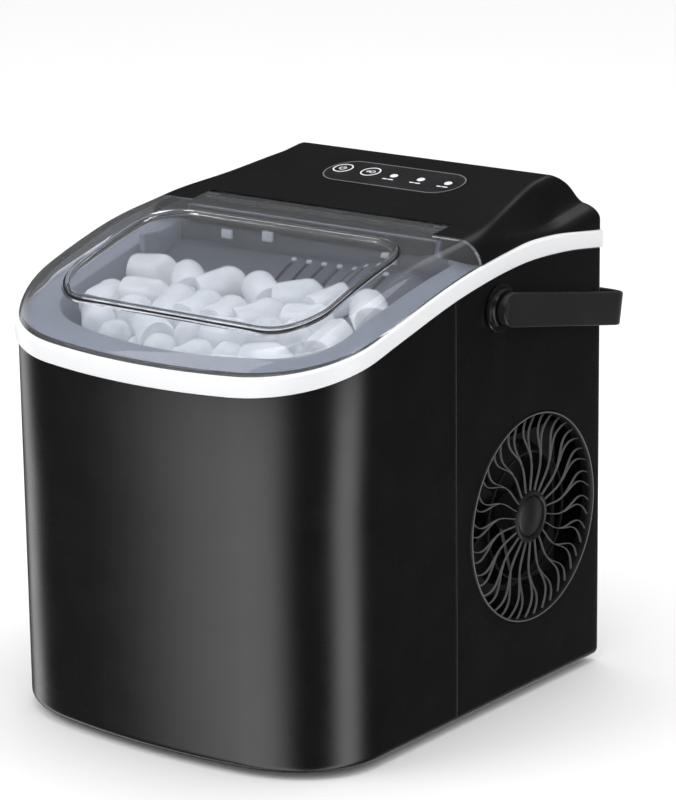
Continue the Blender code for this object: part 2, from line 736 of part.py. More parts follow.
def make_evaporator_hood():
    """A sloping slide over the evaporator, with a front lip and a comb of slots."""
    (y0, y1), (z0, z1), wall = HOOD_Y, HOOD_Z, HOOD_WALL
    outline = [(y0, z0), (y1, z1), (y1, z1 - wall), (y0 + wall, z0 - wall / 2), (y0 + wall, z0 - HOOD_LIP),
               (y0, z0 - HOOD_LIP)]
    hood = side_prism("evaporator_hood", outline, -HOOD_HALF_W, HOOD_HALF_W, GREY)
    middle = HOOD_SLOT_X + 3 * HOOD_SLOT_PITCH
    cut(hood, *vent_slots("hood_slot", (middle, HOOD_SLOT_Y, z1), 0, 7, HOOD_SLOT_PITCH,
                          (0.0024, 0.014, 0.05)))


def make_water_tray():
    y, z = TRAY_AXIS
    inside = TRAY_HALF_W - TRAY_WALL
    trough = arc((y, z), TRAY_R + TRAY_WALL, 180, 360, 14)
    tray = side_prism("water_tray", trough, -TRAY_HALF_W, TRAY_HALF_W, GREY)
    for side in (-1, 1):
        join(tray, cylinder(f"tray_ear_{side}", (side * inside, y, z), (side * TRAY_HALF_W, y, z),
                            TRAY_EAR_R, segments=16))
    cut(tray, cylinder("tray_hollow", (-inside, y, z), (inside, y, z), TRAY_R, segments=28))
    for side, reach in ((-1, 0.0985), (1, 0.0945)):
        join(tray, cylinder(f"tray_shaft_{side}", (side * (TRAY_HALF_W - TRAY_WALL / 2), y, z),
                            (side * reach, y, z), TRAY_SHAFT_R, segments=12))
    turn_about(tray, (0, y, z))


def make_tray_drive():
    y, z = TRAY_AXIS
    box("tray_motor", (0.0948, y - 0.013, z - 0.020), (0.1062, y + 0.013, z + 0.016), DARK)
    bush = cylinder("tray_bearing", (-0.0990, y, z), (-0.0930, y, z), 0.0065, PUMP, segments=16)
    cut(bush, cylinder("bearing_bore", (-0.101, y, z), (-0.091, y, z), TRAY_SHAFT_R + GAP, segments=16))


def make_ice_shovel():
    y, z = SHOVEL_AXIS
    low, high = (-SHOVEL_HALF_W, y - 0.001, z), (SHOVEL_HALF_W, y + 0.001, z + SHOVEL_HEIGHT)
    shovel = box("ice_shovel", low, high, GREY)
    join(shovel, cylinder("shovel_shaft", (-0.0925, y, z), (0.0925, y, z), SHOVEL_SHAFT_R, segments=12))
    cut(shovel, *vent_slots("shovel_slot", (0, y, z + 0.0095), 0, 8, 0.014, (0.004, 0.02, 0.009)))
    turn_about(shovel, (0, y, z))


def make_pump():
    x, y = PUMP_AT
    pump = cylinder("water_pump", (x, y, 0.0030), (x, y, 0.0380), PUMP_R, PUMP, segments=24)
    join(pump, cylinder("pump_outlet", (x + 0.010, y, PUMP_OUTLET_Z), (x + 0.024, y, PUMP_OUTLET_Z), 0.0045,
                        segments=12))
    rise = 0.1005
    hose = [(x + 0.0245, y, PUMP_OUTLET_Z), (0.088, y, 0.031), (0.0965, y, 0.038), (rise, y, 0.052),
            (rise, -0.042, 0.120), (rise, -0.036, 0.190), (rise, -0.034, 0.212)]
    tube("pump_hose", hose, 0.0038, CLEAR)


def make_drain():
    y, z = PLUG_AT
    x = TUB_DRAIN_AT[0]
    drain = [(x, y, 0.0578), (x, y, 0.034), (x - 0.003, y, 0.026), (x - 0.010, y, z), (-0.0945, y, z)]
    tube("drain_hose", drain, 0.0033, CLEAR)
    plug = cylinder("drain_plug", (-0.0950, y, z), (-0.1115, y, z), PLUG_R, RUBBER, segments=16)
    join(plug, cylinder("plug_cap", (-HALF_W - GAP, y, z), (-HALF_W - 0.0045, y, z), 0.0085, segments=20))
    turn_about(plug, (-HALF_W, y, z))


def make_ice_sensors():
    for side, label in ((-1, "left"), (1, "right")):
        low, high = sorted((side * 0.0863, side * 0.0896))
        eye = box(f"ice_sensor_{label}", (low, -0.058, 0.190), (high, -0.048, 0.200), DARK)
        turn_about(eye, (side * 0.088, -0.053, 0.195))


# ---------------------------------------------------------------- cooling circuit

def lathe(name, profile, at, mat, segments=24):
    """A turned solid about a vertical axis: profile from the top on the axis to the bottom."""
    mesh = bpy.data.meshes.new(name)
    edges = [(i, i + 1) for i in range(len(profile) - 1)]
    mesh.from_pydata([(r, 0, z) for r, z in profile], edges, [])
    obj = place(bpy.data.objects.new(name, mesh), mat)
    obj.location = (*at, 0)
    screw = obj.modifiers.new("turn", "SCREW")
    screw.steps = segments
    screw.render_steps = segments
    screw.use_merge_vertices = True
    screw.merge_threshold = 0.00001
    screw.use_normal_calculate = False
    return obj


def make_compressor():
    r = COMPRESSOR_R
    profile = [(0, 0.112), (r * 0.5, 0.109), (r * 0.82, 0.100), (r * 0.97, 0.086), (r, 0.066),
               (r, 0.042), (r * 0.96, 0.026), (r * 0.75, 0.013), (r * 0.4, 0.010), (0, 0.010)]
    lathe("compressor", profile, COMPRESSOR_AT, DARK)
    x, y = COMPRESSOR_AT
    bracket = box("compressor_bracket", (x - 0.046, y - 0.034, 0.003), (x + 0.046, y + 0.034, 0.006), STEEL)
    cut(bracket, cylinder("bracket_hole", (x, y, -0.01), (x, y, 0.02), 0.012))


def make_condenser():
    block = box("condenser", (0.036, 0.026, 0.046), (0.056, 0.102, 0.146), FINS)
    cut(block, *vent_slots("fin_gap", (0.034, 0.064, 0.096), 2, 9, 0.010, (0.016, 0.2, 0.003)))


def make_fan():
    y, z = FAN_AXIS
    half = FAN_R + 0.0035
    shroud = box("fan_shroud", (0.0763, y - half, z - half), (0.0960, y + half, z + half), DARK)
    cut(shroud, cylinder("fan_duct", (0.0785, y, z), (0.0980, y, z), FAN_R + 0.0015, segments=36))
    for i in range(4):
        angle = math.radians(45 + 90 * i)
        at = (0.0775, y + 0.026 * math.cos(angle), z + 0.026 * math.sin(angle))
        cut(shroud, cylinder(f"shroud_window_{i}", (0.070, at[1], at[2]), (0.080, at[1], at[2]), 0.0115,
                             segments=14))
    cut(shroud, cylinder("shroud_shaft_hole", (0.07, y, z), (0.08, y, z), 0.003, segments=12))
    cylinder("fan_motor", (0.0580, y, z), (0.0760, y, z), 0.0125, STEEL, segments=24)
    blade = cylinder("fan_blade", (0.0795, y, z), (0.0930, y, z), 0.0100, PUMP, segments=20)
    for i in range(5):
        vane = box(f"vane_{i}", (-0.0008, 0.008, -0.0065), (0.0008, FAN_R - 0.0015, 0.0065))
        vane.data.transform(Matrix.Rotation(math.radians(40), 4, "Y"))
        vane.data.transform(Matrix.Rotation(math.radians(90), 4, "Y"))
        vane.data.transform(Matrix.Rotation(math.radians(72 * i), 4, "X"))
        vane.location = (FAN_X, y, z)
        join(blade, vane)
    join(blade, cylinder("fan_shaft", (0.0764, y, z), (0.0800, y, z), 0.0020, segments=12))
    turn_about(blade, (FAN_X, y, z))


def make_grille():
    y, z = FAN_AXIS
    face, back = GRILLE_FACE, GRILLE_BACK
    grille = cylinder("side_grille", (back, y, z), (face, y, z), GRILLE_R, DARK, segments=48)
    cut(grille, cylinder("grille_open", (back - 0.01, y, z), (face + 0.01, y, z), GRILLE_R - GRILLE_RIM,
                         segments=48))
    join(grille, cylinder("grille_hub", (back, y, z), (face - 0.0005, y, z), HUB_R, segments=24))
    for i in range(RIB_COUNT):
        rib = box(f"grille_rib_{i}", (-0.0015, HUB_R - 0.002, -0.0009), (0.0015, GRILLE_R - 0.001, 0.0009))
        rib.data.transform(Matrix.Rotation(2 * math.pi * i / RIB_COUNT, 4, "X"))
        rib.location = ((face + back) / 2 - 0.00035, y, z)
        join(grille, rib)
    cylinder("grille_hub_cap", (face - 0.0002, y, z), (HALF_W + 0.0006, y, z), HUB_R - 0.0015, DARK,
             segments=24)


def make_refrigerant_lines():
    x, y = COMPRESSOR_AT
    start = PIPE_REAR_Y + GAP + 0.0002
    tube("suction_tube", [(-PIPE_X, start, PIPE_Z), (-PIPE_X, 0.050, PIPE_Z), (-0.032, 0.060, 0.198),
                          (-0.034, 0.064, 0.190), (-0.036, 0.066, 0.150), (x + 0.012, y - 0.006, 0.1135)],
         0.003, COPPER)
    tube("discharge_tube", [(x - 0.014, y + 0.006, 0.1125), (x - 0.014, y + 0.006, 0.135),
                            (x - 0.006, y + 0.010, 0.150), (0.020, 0.092, 0.158), (0.040, 0.094, 0.158),
                            (0.046, 0.094, 0.154), (0.046, 0.094, 0.1465)], 0.0025, COPPER)
    tube("capillary_tube", [(PIPE_X, start, PIPE_Z), (PIPE_X, 0.050, PIPE_Z), (0.031, 0.058, 0.196),
                            (0.030, 0.060, 0.180), (0.024, 0.056, 0.120), (0.018, 0.050, 0.0905)],
         0.0012, COPPER)
    cylinder("filter_drier", (0.018, 0.050, 0.090), (0.018, 0.050, 0.042), 0.0075, COPPER, segments=16)
    foot = (-0.006, 0.045, 0.150)
    valve = cylinder("hot_gas_valve", foot, (-0.006, 0.045, 0.178), 0.011, DARK, segments=20)
    turn_about(valve, foot)


# ---------------------------------------------------------------- controls

PANEL_SLOPE = math.atan2(top_z(PANEL_AT[1] + 0.01) - top_z(PANEL_AT[1] - 0.01), 0.02)
PANEL_MATRIX = (Matrix.Translation((PANEL_AT[0], PANEL_AT[1], top_z(PANEL_AT[1])))
                @ Matrix.Rotation(PANEL_SLOPE, 4, "X"))


def on_panel(obj):
    """Move a shape made about the panel's centre onto the sloping top."""
    obj.data.transform(PANEL_MATRIX)
    return obj


def panel_outline(grow=0.0):
    half_x, half_y = PANEL_SIZE[0] / 2 + grow, PANEL_SIZE[1] / 2 + grow
    return rounded_rectangle(-half_x, half_x, -half_y, half_y, half_y - 0.0002)


def make_control_panel():
    panel = on_panel(plan_prism("control_panel", panel_outline(), PANEL_BOTTOM, PANEL_TOP, DARK))
    for i, x in enumerate(BUTTON_X):
        cut(panel, on_panel(cylinder(f"panel_button_hole_{i}", (x, KEY_ROW_Y, -0.01), (x, KEY_ROW_Y, 0.01),
                                     BUTTON_R + GAP)))
    for i, x in enumerate(LENS_X):
        cut(panel, on_panel(cylinder(f"panel_lens_hole_{i}", (x, KEY_ROW_Y, -0.01), (x, KEY_ROW_Y, 0.01),
                                     LENS_R + GAP, segments=16)))
    on_panel(box("control_board", (-0.043, -0.009, -0.0082), (0.043, 0.009, -0.0066), BOARD))


def cut_panel_recess(cover):
    cut(cover, on_panel(plan_prism("panel_recess", panel_outline(GAP), PANEL_BOTTOM - GAP, 0.01)))
    for i, x in enumerate(BUTTON_X):
        cut(cover, on_panel(cylinder(f"cover_button_hole_{i}", (x, KEY_ROW_Y, -0.01), (x, KEY_ROW_Y, 0.01),
                                     BUTTON_R + GAP)))


def make_buttons():
    for name, x in zip(("power_button", "select_button"), BUTTON_X):
        button = on_panel(cylinder(name, (x, KEY_ROW_Y, -0.0048), (x, KEY_ROW_Y, 0.0008), BUTTON_R, BLACK))
        turn_about(button, PANEL_MATRIX @ Vector((x, KEY_ROW_Y, 0)))
    for name, x in zip(("water_lens", "ice_full_lens", "size_lens"), LENS_X):
        on_panel(cylinder(name, (x, KEY_ROW_Y, PANEL_BOTTOM), (x, KEY_ROW_Y, 0.0007), LENS_R, LENS,
                          segments=16))


def make_electrics():
    box("main_board", (-0.1045, 0.036, 0.128), (-0.1029, 0.108, 0.188), BOARD)
    x, z = GLAND_AT
    gland = cylinder("cord_gland", (x, HALF_D - 0.008, z), (x, HALF_D + 0.0005, z), GLAND_R, RUBBER,
                     segments=20)
    join(gland, cylinder("gland_flange", (x, HALF_D + GAP, z), (x, HALF_D + 0.003, z), 0.0085, segments=20))
    cut(gland, cylinder("gland_bore", (x, HALF_D - 0.02, z), (x, HALF_D + 0.02, z), 0.0034, segments=16))


# ---------------------------------------------------------------- carry handle

def make_handle():
    y, z = HANDLE_AXIS
    half = HANDLE_WIDTH / 2
    out, inside = HANDLE_OUT, HANDLE_OUT - HANDLE_THICK
    end, reach = HANDLE_REACH + HANDLE_THICK, HANDLE_REACH
    corner, inner_corner = HANDLE_CORNER, HANDLE_CORNER - HANDLE_THICK
    right = [(out, -half)] + arc((out - corner, end - corner), corner, 0, 90, 6)
    back = arc((inside - inner_corner, reach - inner_corner), inner_corner, 90, 0, 5) + [(inside, -half)]
    left = [(-px, py) for px, py in reversed(right)]
    back_left = [(-px, py) for px, py in reversed(back)]
    bail = plan_prism("carry_handle", right + left + back_left + back, -half, half, BLACK)
    side = arc((0, 0), half, 270, 90, 10) + [(0.13, half), (0.13, -half)]
    keep_inside(bail, side_prism("handle_side", side, -0.13, 0.13))
    for turn in (-1, 1):
        cut(bail, cylinder(f"handle_bore_{turn}", (turn * 0.11, 0, 0), (turn * 0.13, 0, 0),
                           HANDLE_PIN_R + GAP))
    for mod in bail.modifiers:
        mod.object.location = (0, y, z)
        mod.object.rotation_euler.x = HANDLE_TILT
    bail.location = (0, y, z)
    bail.rotation_euler.x = HANDLE_TILT


def make_handle_bosses():
    y, z = HANDLE_AXIS
    for turn, label in ((-1, "left"), (1, "right")):
        boss = cylinder(f"handle_boss_{label}", (turn * 0.103, y, z), (turn * 0.1205, y, z), HANDLE_PIN_R,
                        BLACK, segments=16)
        join(boss, cylinder(f"boss_stem_{turn}", (turn * 0.1035, y, z), (turn * 0.113, y, z), BOSS_STEM_R,
                            segments=16),
             cylinder(f"boss_disc_{turn}", (turn * (HALF_W + GAP), y, z), (turn * 0.1135, y, z), 0.0125,
                      segments=20),
             cylinder(f"boss_ring_{turn}", (turn * 0.1130, y, z), (turn * 0.1160, y, z), 0.0105,
                      segments=20))


BUILDERS = [make_front_shell, make_rear_shell, make_base_plate, make_feet, make_trim_band, make_top_cover,
            make_lid_shell, make_lid_window, make_window_seal, make_hinge_pins, make_ice_tub,
            make_insulation, make_ice_basket, make_evaporator, make_evaporator_hood, make_water_tray,
            make_tray_drive, make_ice_shovel, make_pump, make_drain, make_ice_sensors, make_compressor,
            make_condenser, make_fan, make_grille, make_refrigerant_lines, make_control_panel, make_buttons,
            make_electrics, make_handle, make_handle_bosses]
for builder in BUILDERS:
    builder()
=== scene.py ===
import json
import math

import bmesh
import bpy
import numpy as np
from mathutils import Matrix, Vector, noise


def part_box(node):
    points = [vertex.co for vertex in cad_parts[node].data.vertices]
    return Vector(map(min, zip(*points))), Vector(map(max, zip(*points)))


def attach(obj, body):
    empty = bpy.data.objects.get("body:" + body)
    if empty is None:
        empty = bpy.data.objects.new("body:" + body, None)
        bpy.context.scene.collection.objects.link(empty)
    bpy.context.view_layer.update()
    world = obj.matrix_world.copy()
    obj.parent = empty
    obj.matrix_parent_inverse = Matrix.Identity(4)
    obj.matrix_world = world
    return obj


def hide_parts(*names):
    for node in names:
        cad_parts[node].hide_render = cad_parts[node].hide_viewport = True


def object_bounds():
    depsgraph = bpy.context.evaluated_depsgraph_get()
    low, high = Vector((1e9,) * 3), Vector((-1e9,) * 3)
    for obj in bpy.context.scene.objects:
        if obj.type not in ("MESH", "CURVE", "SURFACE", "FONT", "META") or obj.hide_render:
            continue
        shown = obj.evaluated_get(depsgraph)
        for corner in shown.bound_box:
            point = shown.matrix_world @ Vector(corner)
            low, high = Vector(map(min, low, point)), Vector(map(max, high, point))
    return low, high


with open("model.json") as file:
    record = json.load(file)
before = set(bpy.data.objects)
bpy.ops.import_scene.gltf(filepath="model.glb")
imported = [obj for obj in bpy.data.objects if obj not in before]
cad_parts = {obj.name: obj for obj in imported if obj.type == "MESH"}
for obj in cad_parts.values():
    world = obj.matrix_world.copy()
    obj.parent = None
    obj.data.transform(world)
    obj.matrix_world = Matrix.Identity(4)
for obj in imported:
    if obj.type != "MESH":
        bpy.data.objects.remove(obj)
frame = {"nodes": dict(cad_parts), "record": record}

CAD_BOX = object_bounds()

# ---------------------------------------------------------------- driving dimensions, in metres
# Lengths follow the object's own frame: origin under the middle of the casing, front at -Y.

FRONT_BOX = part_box("front_shell")
REAR_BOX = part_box("rear_shell")
HALF_W = REAR_BOX[1].x
HALF_D = (REAR_BOX[1].y - FRONT_BOX[0].y) / 2
ORIGIN = Vector((0, (REAR_BOX[1].y + FRONT_BOX[0].y) / 2, FRONT_BOX[0].z))
SEAM_Y = FRONT_BOX[1].y - ORIGIN.y

FRONT_BOW = 0.0155
FRONT_RADIUS = 0.052
REAR_RADIUS = 0.003
BOTTOM_ROUND = 0.005
WALL = 0.0025
GAP = 0.0003
BASE_INSET = 0.014
TOP_EASE = 0.0006
SEAM_EASE = 0.0004

BAND_LINE = [(-0.160, 0.184), (-0.127, 0.1925), (-0.090, 0.2035), (-0.050, 0.2146), (0.0, 0.2268),
             (0.050, 0.2337), (0.090, 0.2333), (0.127, 0.2292), (0.160, 0.226)]
TOP_LINE = [(-0.160, 0.197), (-0.127, 0.210), (-0.105, 0.2185), (-0.084, 0.227), (-0.054, 0.2375),
            (-0.020, 0.2465), (0.020, 0.252), (0.060, 0.2573), (0.090, 0.2625), (0.127, 0.2685),
            (0.160, 0.273)]
BAND_HEIGHT = 0.0092
BAND_PROUD = 0.0015
BAND_DEPTH = 0.0026

EDGE_ROUND = 0.014
SHOULDER_DROP = 0.0165
SHOULDER_OUT = 0.010
SHOULDER_IN = 0.029
SHOULDER_START = 0.3
SHOULDER_LENGTH = 0.085
REAR_SHARPER = 0.45
CREASE = 0.0011
REAR_ROUND = 0.0135

LID_REAR_Y = 0.017
TAB_REAR_Y = 0.034
TAB_HALF_W = 0.080
LID_WALL = 0.0024
HINGE_R = 0.0032
WINDOW_Y = (-0.097, -0.001)
WINDOW_HALF_W = 0.0845
WINDOW_R = 0.026
WINDOW_RISE = 0.0021

TUB_INSET = 0.021
TUB_REAR_Y = 0.018
TUB_FLOOR_Z = 0.058
TUB_WALL = 0.0026
FLANGE_LOW = 0.0035
FLANGE_HIGH = 0.0075
BASKET_INSET = 0.0245
BASKET_WALL = 0.002
BASKET_REAR_Y = -0.041
BASKET_Z = (0.098, 0.186)
BASKET_REAR_TOP = 0.172
TRAY_AXIS = (-0.009, 0.176)
SHOVEL_AXIS = (-0.0375, 0.190)
SHOVEL_HEIGHT = 0.018
SHOVEL_BELOW = 0.012
HOOD_HALF_W = 0.0885
HOOD_Y = (-0.030, TUB_REAR_Y - GAP)
HOOD_Z = (0.2060, 0.2283)
HOOD_SLOT_X = -0.008
HOOD_SLOT_PITCH = 0.0101

VENT_PITCH = 0.009
VENT_WIDTH = 0.004
FAN_AXIS = (0.0633, 0.095)
GRILLE_R = 0.0567
HUB_R = 0.014
RIB_WIDTH = 0.0005
RIB_DEPTH = 0.0011
RIB_STEPS = 14
RIB_STEMS = 22
RIB_SPLIT = 0.030
PANEL_AT = (0.005, 0.0845)
PANEL_SIZE = (0.090, 0.030)
KEY_ROW_Y = 0.0015
BUTTON_X = (-0.0355, -0.0167)
BUTTON_R = 0.0062
LENS_X = (-0.001, 0.017, 0.0350)
LENS_R = 0.0023
MARK_Y = -0.0042
PANEL_PRINT = (0.0003, 0.00048)
BUTTON_PRINT = (0.0007, 0.00092)
HANDLE_AXIS = (0.032, 0.2145)
HANDLE_TILT = math.radians(-10.7)
HANDLE_OUT = 0.121
HANDLE_THICK = 0.0046
HANDLE_WIDTH = 0.018
HANDLE_REACH = 0.1045
HANDLE_CORNER = 0.012
HANDLE_EDGE = 0.0011
DRAIN_AT = (-0.050, 0.022)

ICE_COUNT = 128
ICE_SIDES = 22
ICE_BACK = -0.024
ICE_R = 0.0093
ICE_LENGTH = 0.0265
ICE_SEED = 11
ICE_STEPS = 300
ICE_FALL = 0.0016
ICE_SPREAD = 0.20
ICE_PUSH = 0.25
ICE_LIFT_ROOM = 0.0143
ICE_CROWDED = 0.006

SIDE_STEP = 0.004
CORNER_STEPS = 26
FRONT_STEPS = 16
REAR_STEPS = 8
WHOLE_STEPS = 46


# ---------------------------------------------------------------- materials

def node(mat, kind, **values):
    """Add a shader node and set its input sockets by name."""
    made = mat.node_tree.nodes.new(kind)
    for key, value in values.items():
        made.inputs[key.replace("_", " ")].default_value = value
    return made


def link(mat, source, target):
    mat.node_tree.links.new(source, target)


def principled(name, color, roughness, **sockets):
    mat = bpy.data.materials.new(name)
    mat.use_nodes = True
    shader = mat.node_tree.nodes["Principled BSDF"]
    shader.inputs["Base Color"].default_value = (*color, 1)
    shader.inputs["Roughness"].default_value = roughness
    for key, value in sockets.items():
        shader.inputs[key.replace("_", " ")].default_value = value
    return mat


def shader_of(mat):
    return mat.node_tree.nodes["Principled BSDF"]


def noise_field(mat, scale, detail=3.0, stretch=(1, 1, 1)):
    """Noise in the piece's own space, whose scale is in cycles a metre."""
    coords = node(mat, "ShaderNodeTexCoord")
    mapping = node(mat, "ShaderNodeMapping", Scale=stretch)
    field = node(mat, "ShaderNodeTexNoise", Scale=scale, Detail=detail)
    link(mat, coords.outputs["Object"], mapping.inputs["Vector"])
    link(mat, mapping.outputs["Vector"], field.inputs["Vector"])
    return field.outputs["Fac"]


def spread(mat, source, low, high):
    """Map the middle of a noise field onto a range of values."""
    ramp = node(mat, "ShaderNodeMapRange", From_Min=0.3, From_Max=0.7, To_Min=low, To_Max=high)
    link(mat, source, ramp.inputs["Value"])
    return ramp.outputs["Result"]


def relief(mat, scale, height, detail=3.0, stretch=(1, 1, 1)):
    """Raise a fine grain on the surface, height in metres."""
    bump = node(mat, "ShaderNodeBump", Strength=1.0, Distance=height)
    link(mat, noise_field(mat, scale, detail, stretch), bump.inputs["Height"])
    link(mat, bump.outputs["Normal"], shader_of(mat).inputs["Normal"])


def uneven_gloss(mat, scale, low, high):
    link(mat, spread(mat, noise_field(mat, scale), low, high), shader_of(mat).inputs["Roughness"])


def uneven_color(mat, scale, first, second, stretch=(1, 1, 1)):
    mix = mat.node_tree.nodes.new("ShaderNodeMix")
    mix.data_type = "RGBA"
    mix.inputs["A"].default_value = (*first, 1)
    mix.inputs["B"].default_value = (*second, 1)
    link(mat, spread(mat, noise_field(mat, scale, 4.0, stretch), 0, 1), mix.inputs["Factor"])
    link(mat, mix.outputs["Result"], shader_of(mat).inputs["Base Color"])


def moulded(name, color, roughness, grain_scale, grain_height, spread_by=0.05, tone=0.12, **sockets):
    """Moulded plastic: fine grain, slightly uneven gloss and tone."""
    mat = principled(name, color, roughness, **sockets)
    relief(mat, grain_scale, grain_height)
    uneven_gloss(mat, 45, roughness - spread_by, roughness + spread_by)
    uneven_color(mat, 30, [c * (1 - tone) for c in color], [min(c * (1 + tone), 1) for c in color])
    return mat


def let_lamps_through(mat, tint):
    """Clear plastic that passes lamp light straight through to what is behind it."""
    nodes = mat.node_tree.nodes
    clear = node(mat, "ShaderNodeBsdfTransparent", Color=(*tint, 1))
    path = node(mat, "ShaderNodeLightPath")
    mix = nodes.new("ShaderNodeMixShader")
    link(mat, path.outputs["Is Shadow Ray"], mix.inputs["Fac"])
    link(mat, shader_of(mat).outputs["BSDF"], mix.inputs[1])
    link(mat, clear.outputs["BSDF"], mix.inputs[2])
    link(mat, mix.outputs["Shader"], nodes["Material Output"].inputs["Surface"])


def clear_plastic(name, color, haze):
    mat = principled(name, color, 0.035, IOR=1.47, Transmission_Weight=1 - haze)
    relief(mat, 60, 0.000006, detail=1.0)
    uneven_gloss(mat, 25, 0.015, 0.06)
    let_lamps_through(mat, [0.93 * c for c in color])
    return mat


def ice_material():
    """Cloudy ice: milky and half clear, with patches of uneven tone and gloss."""
    mat = principled("bullet_ice", (0.95, 0.965, 0.99), 0.10, IOR=1.31, Transmission_Weight=0.5)
    relief(mat, 220, 0.00025, detail=2.0)
    uneven_gloss(mat, 120, 0.05, 0.22)
    uneven_color(mat, 75, (0.90, 0.92, 0.95), (0.995, 0.995, 1.0))
    let_lamps_through(mat, (0.80, 0.83, 0.86))
    return mat


def metal(name, color, roughness, stretch=(1, 1, 1)):
    mat = principled(name, color, roughness, Metallic=1.0)
    relief(mat, 500, 0.00001, stretch=stretch)
    uneven_gloss(mat, 80, roughness - 0.08, roughness + 0.12)
    uneven_color(mat, 60, [c * 0.85 for c in color], color, stretch)
    return mat


def circuit_material():
    mat = moulded("circuit_board", (0.03, 0.14, 0.06), 0.35, 900, 0.00002)
    tracks = noise_field(mat, 260, 1.0, (1, 1, 6))
    bump = node(mat, "ShaderNodeBump", Strength=0.6, Distance=0.00008)
    link(mat, tracks, bump.inputs["Height"])
    link(mat, bump.outputs["Normal"], shader_of(mat).inputs["Normal"])
    return mat


CASING = moulded("black_abs", (0.0046, 0.0046, 0.0048), 0.27, 700, 0.000003, spread_by=0.02)
SATIN = moulded("dark_plastic", (0.0075, 0.0075, 0.008), 0.38, 1500, 0.00002, spread_by=0.05)
HANDLE = moulded("handle_plastic", (0.014, 0.014, 0.0145), 0.34, 1300, 0.00002, spread_by=0.04)
PANEL = moulded("panel_film", (0.012, 0.012, 0.014), 0.42, 1900, 0.00006, spread_by=0.08, tone=0.5)
WHITE = moulded("white_trim", (0.80, 0.805, 0.82), 0.40, 900, 0.000004, spread_by=0.01, tone=0.002)
CLEAR = clear_plastic("clear_lid", (0.93, 0.945, 0.965), 0.02)
GREY = moulded("grey_tub", (0.215, 0.235, 0.28), 0.36, 900, 0.00001, spread_by=0.06, tone=0.04)
# Darker copy of the tub's grey: painted shade for the slide and the chamber's back wall under the lid's tab.
SHADED_GREY = moulded("grey_painted_shade", (0.085, 0.092, 0.115), 0.34, 900, 0.00001, spread_by=0.06, tone=0.04)
PALE = moulded("pale_snaps", (0.55, 0.57, 0.63), 0.30, 900, 0.00001, tone=0.03)
ICE = ice_material()
# Grey far lighter than the casing's black: painted sheen standing in for the lit outer faces of the black
# grille ribs.
RIBS_PAINTED_SHEEN = moulded("rib_painted_sheen", (0.13, 0.13, 0.133), 0.34, 1500, 0.00002, spread_by=0.05)
# Fins darkened far below aluminium's tone: painted shade, so that the inside seen through the grille stays
# black.
FINS_PAINTED_SHADE = metal("fins_painted_shade", (0.05, 0.05, 0.052), 0.45, (1, 14, 1))
RUBBER = moulded("rubber", (0.022, 0.022, 0.023), 0.70, 1200, 0.00004, tone=0.2)
SEAL = moulded("seal_rubber", (0.008, 0.008, 0.011), 0.30, 1200, 0.00001, tone=0.2)
STEEL = metal("steel", (0.56, 0.56, 0.58), 0.30, (1, 1, 12))
COPPER = metal("copper", (0.75, 0.36, 0.22), 0.28)
BOARD = circuit_material()
PUMP = moulded("pump_white", (0.74, 0.75, 0.77), 0.40, 1000, 0.00002, tone=0.04)
FOAM = moulded("foam", (0.78, 0.75, 0.66), 0.90, 420, 0.0004, tone=0.10)
ICON = moulded("icon_print", (0.78, 0.79, 0.80), 0.50, 2500, 0.000004, tone=0.05)
OUTLINE = moulded("outline_print", (0.17, 0.17, 0.17), 0.50, 2500, 0.000004, tone=0.15)
LENS = moulded("lens", (0.83, 0.85, 0.88), 0.18, 1200, 0.00001, spread_by=0.04, tone=0.03)

SLOT_MATERIALS = {"black_abs": CASING, "dark_plastic": SATIN, "white_trim": WHITE, "clear_lid": CLEAR,
                  "grey_tub": GREY, "steel": STEEL, "copper": COPPER, "aluminium_fins": FINS_PAINTED_SHADE,
                  "rubber": RUBBER, "circuit_board": BOARD, "pump_white": PUMP, "foam": FOAM, "lens": LENS}
# The fan behind the grille gets the dark plastic instead of its slot: painted shade, so the inside looks
# black.
NODES_IN_PAINTED_SHADE = ("fan_blade", "fan_motor")


def dress_cad_nodes():
    """Give every CAD node the fine material of its slot, and the fan behind the grille the dark plastic as
    painted shade.
    """
    for subpart in frame["record"]["subparts"]:
        name = subpart["node"]
        materials = frame["nodes"][name].data.materials
        materials.clear()
        materials.append(SATIN if name in NODES_IN_PAINTED_SHADE else SLOT_MATERIALS[subpart["material_slot"]])


# ---------------------------------------------------------------- places, outlines and lines

def move(x, y, z):
    return Matrix.Translation((x, y, z))


def rotate(degrees, axis):
    return Matrix.Rotation(math.radians(degrees), 4, axis)


def aimed(axis, along):
    """The turn that takes an axis onto a direction."""
    return axis.rotation_difference(along).to_matrix().to_4x4()


def line_height(line, y):
    """Height of a side view line at y, smooth through its points."""
    count = len(line)
    for i in range(count - 1):
        if y <= line[i + 1][0] or i == count - 2:
            break
    slopes = []
    for k in (i, i + 1):
        before, after = line[max(k - 1, 0)], line[min(k + 1, count - 1)]
        slopes.append((after[1] - before[1]) / (after[0] - before[0]))
    (y0, z0), (y1, z1) = line[i], line[i + 1]
    width = y1 - y0
    t = (y - y0) / width
    return ((2 * t**3 - 3 * t**2 + 1) * z0 + (t**3 - 2 * t**2 + t) * width * slopes[0]
            + (3 * t**2 - 2 * t**3) * z1 + (t**3 - t**2) * width * slopes[1])


def smooth_step(low, high, value):
    t = min(max((value - low) / (high - low), 0), 1)
    return t * t * (3 - 2 * t)


def band_z(y):
    return line_height(BAND_LINE, y)


def top_z(y):
    return line_height(TOP_LINE, y)


def level(z):
    """A height rule that is flat."""
    return lambda x, y: z


def above(line, lift):
    """A height rule that follows a side view line."""
    return lambda x, y: line_height(line, y) + lift


def on_band(lift):
    """A height rule that follows the trim band's lower edge."""
    return above(BAND_LINE, lift)


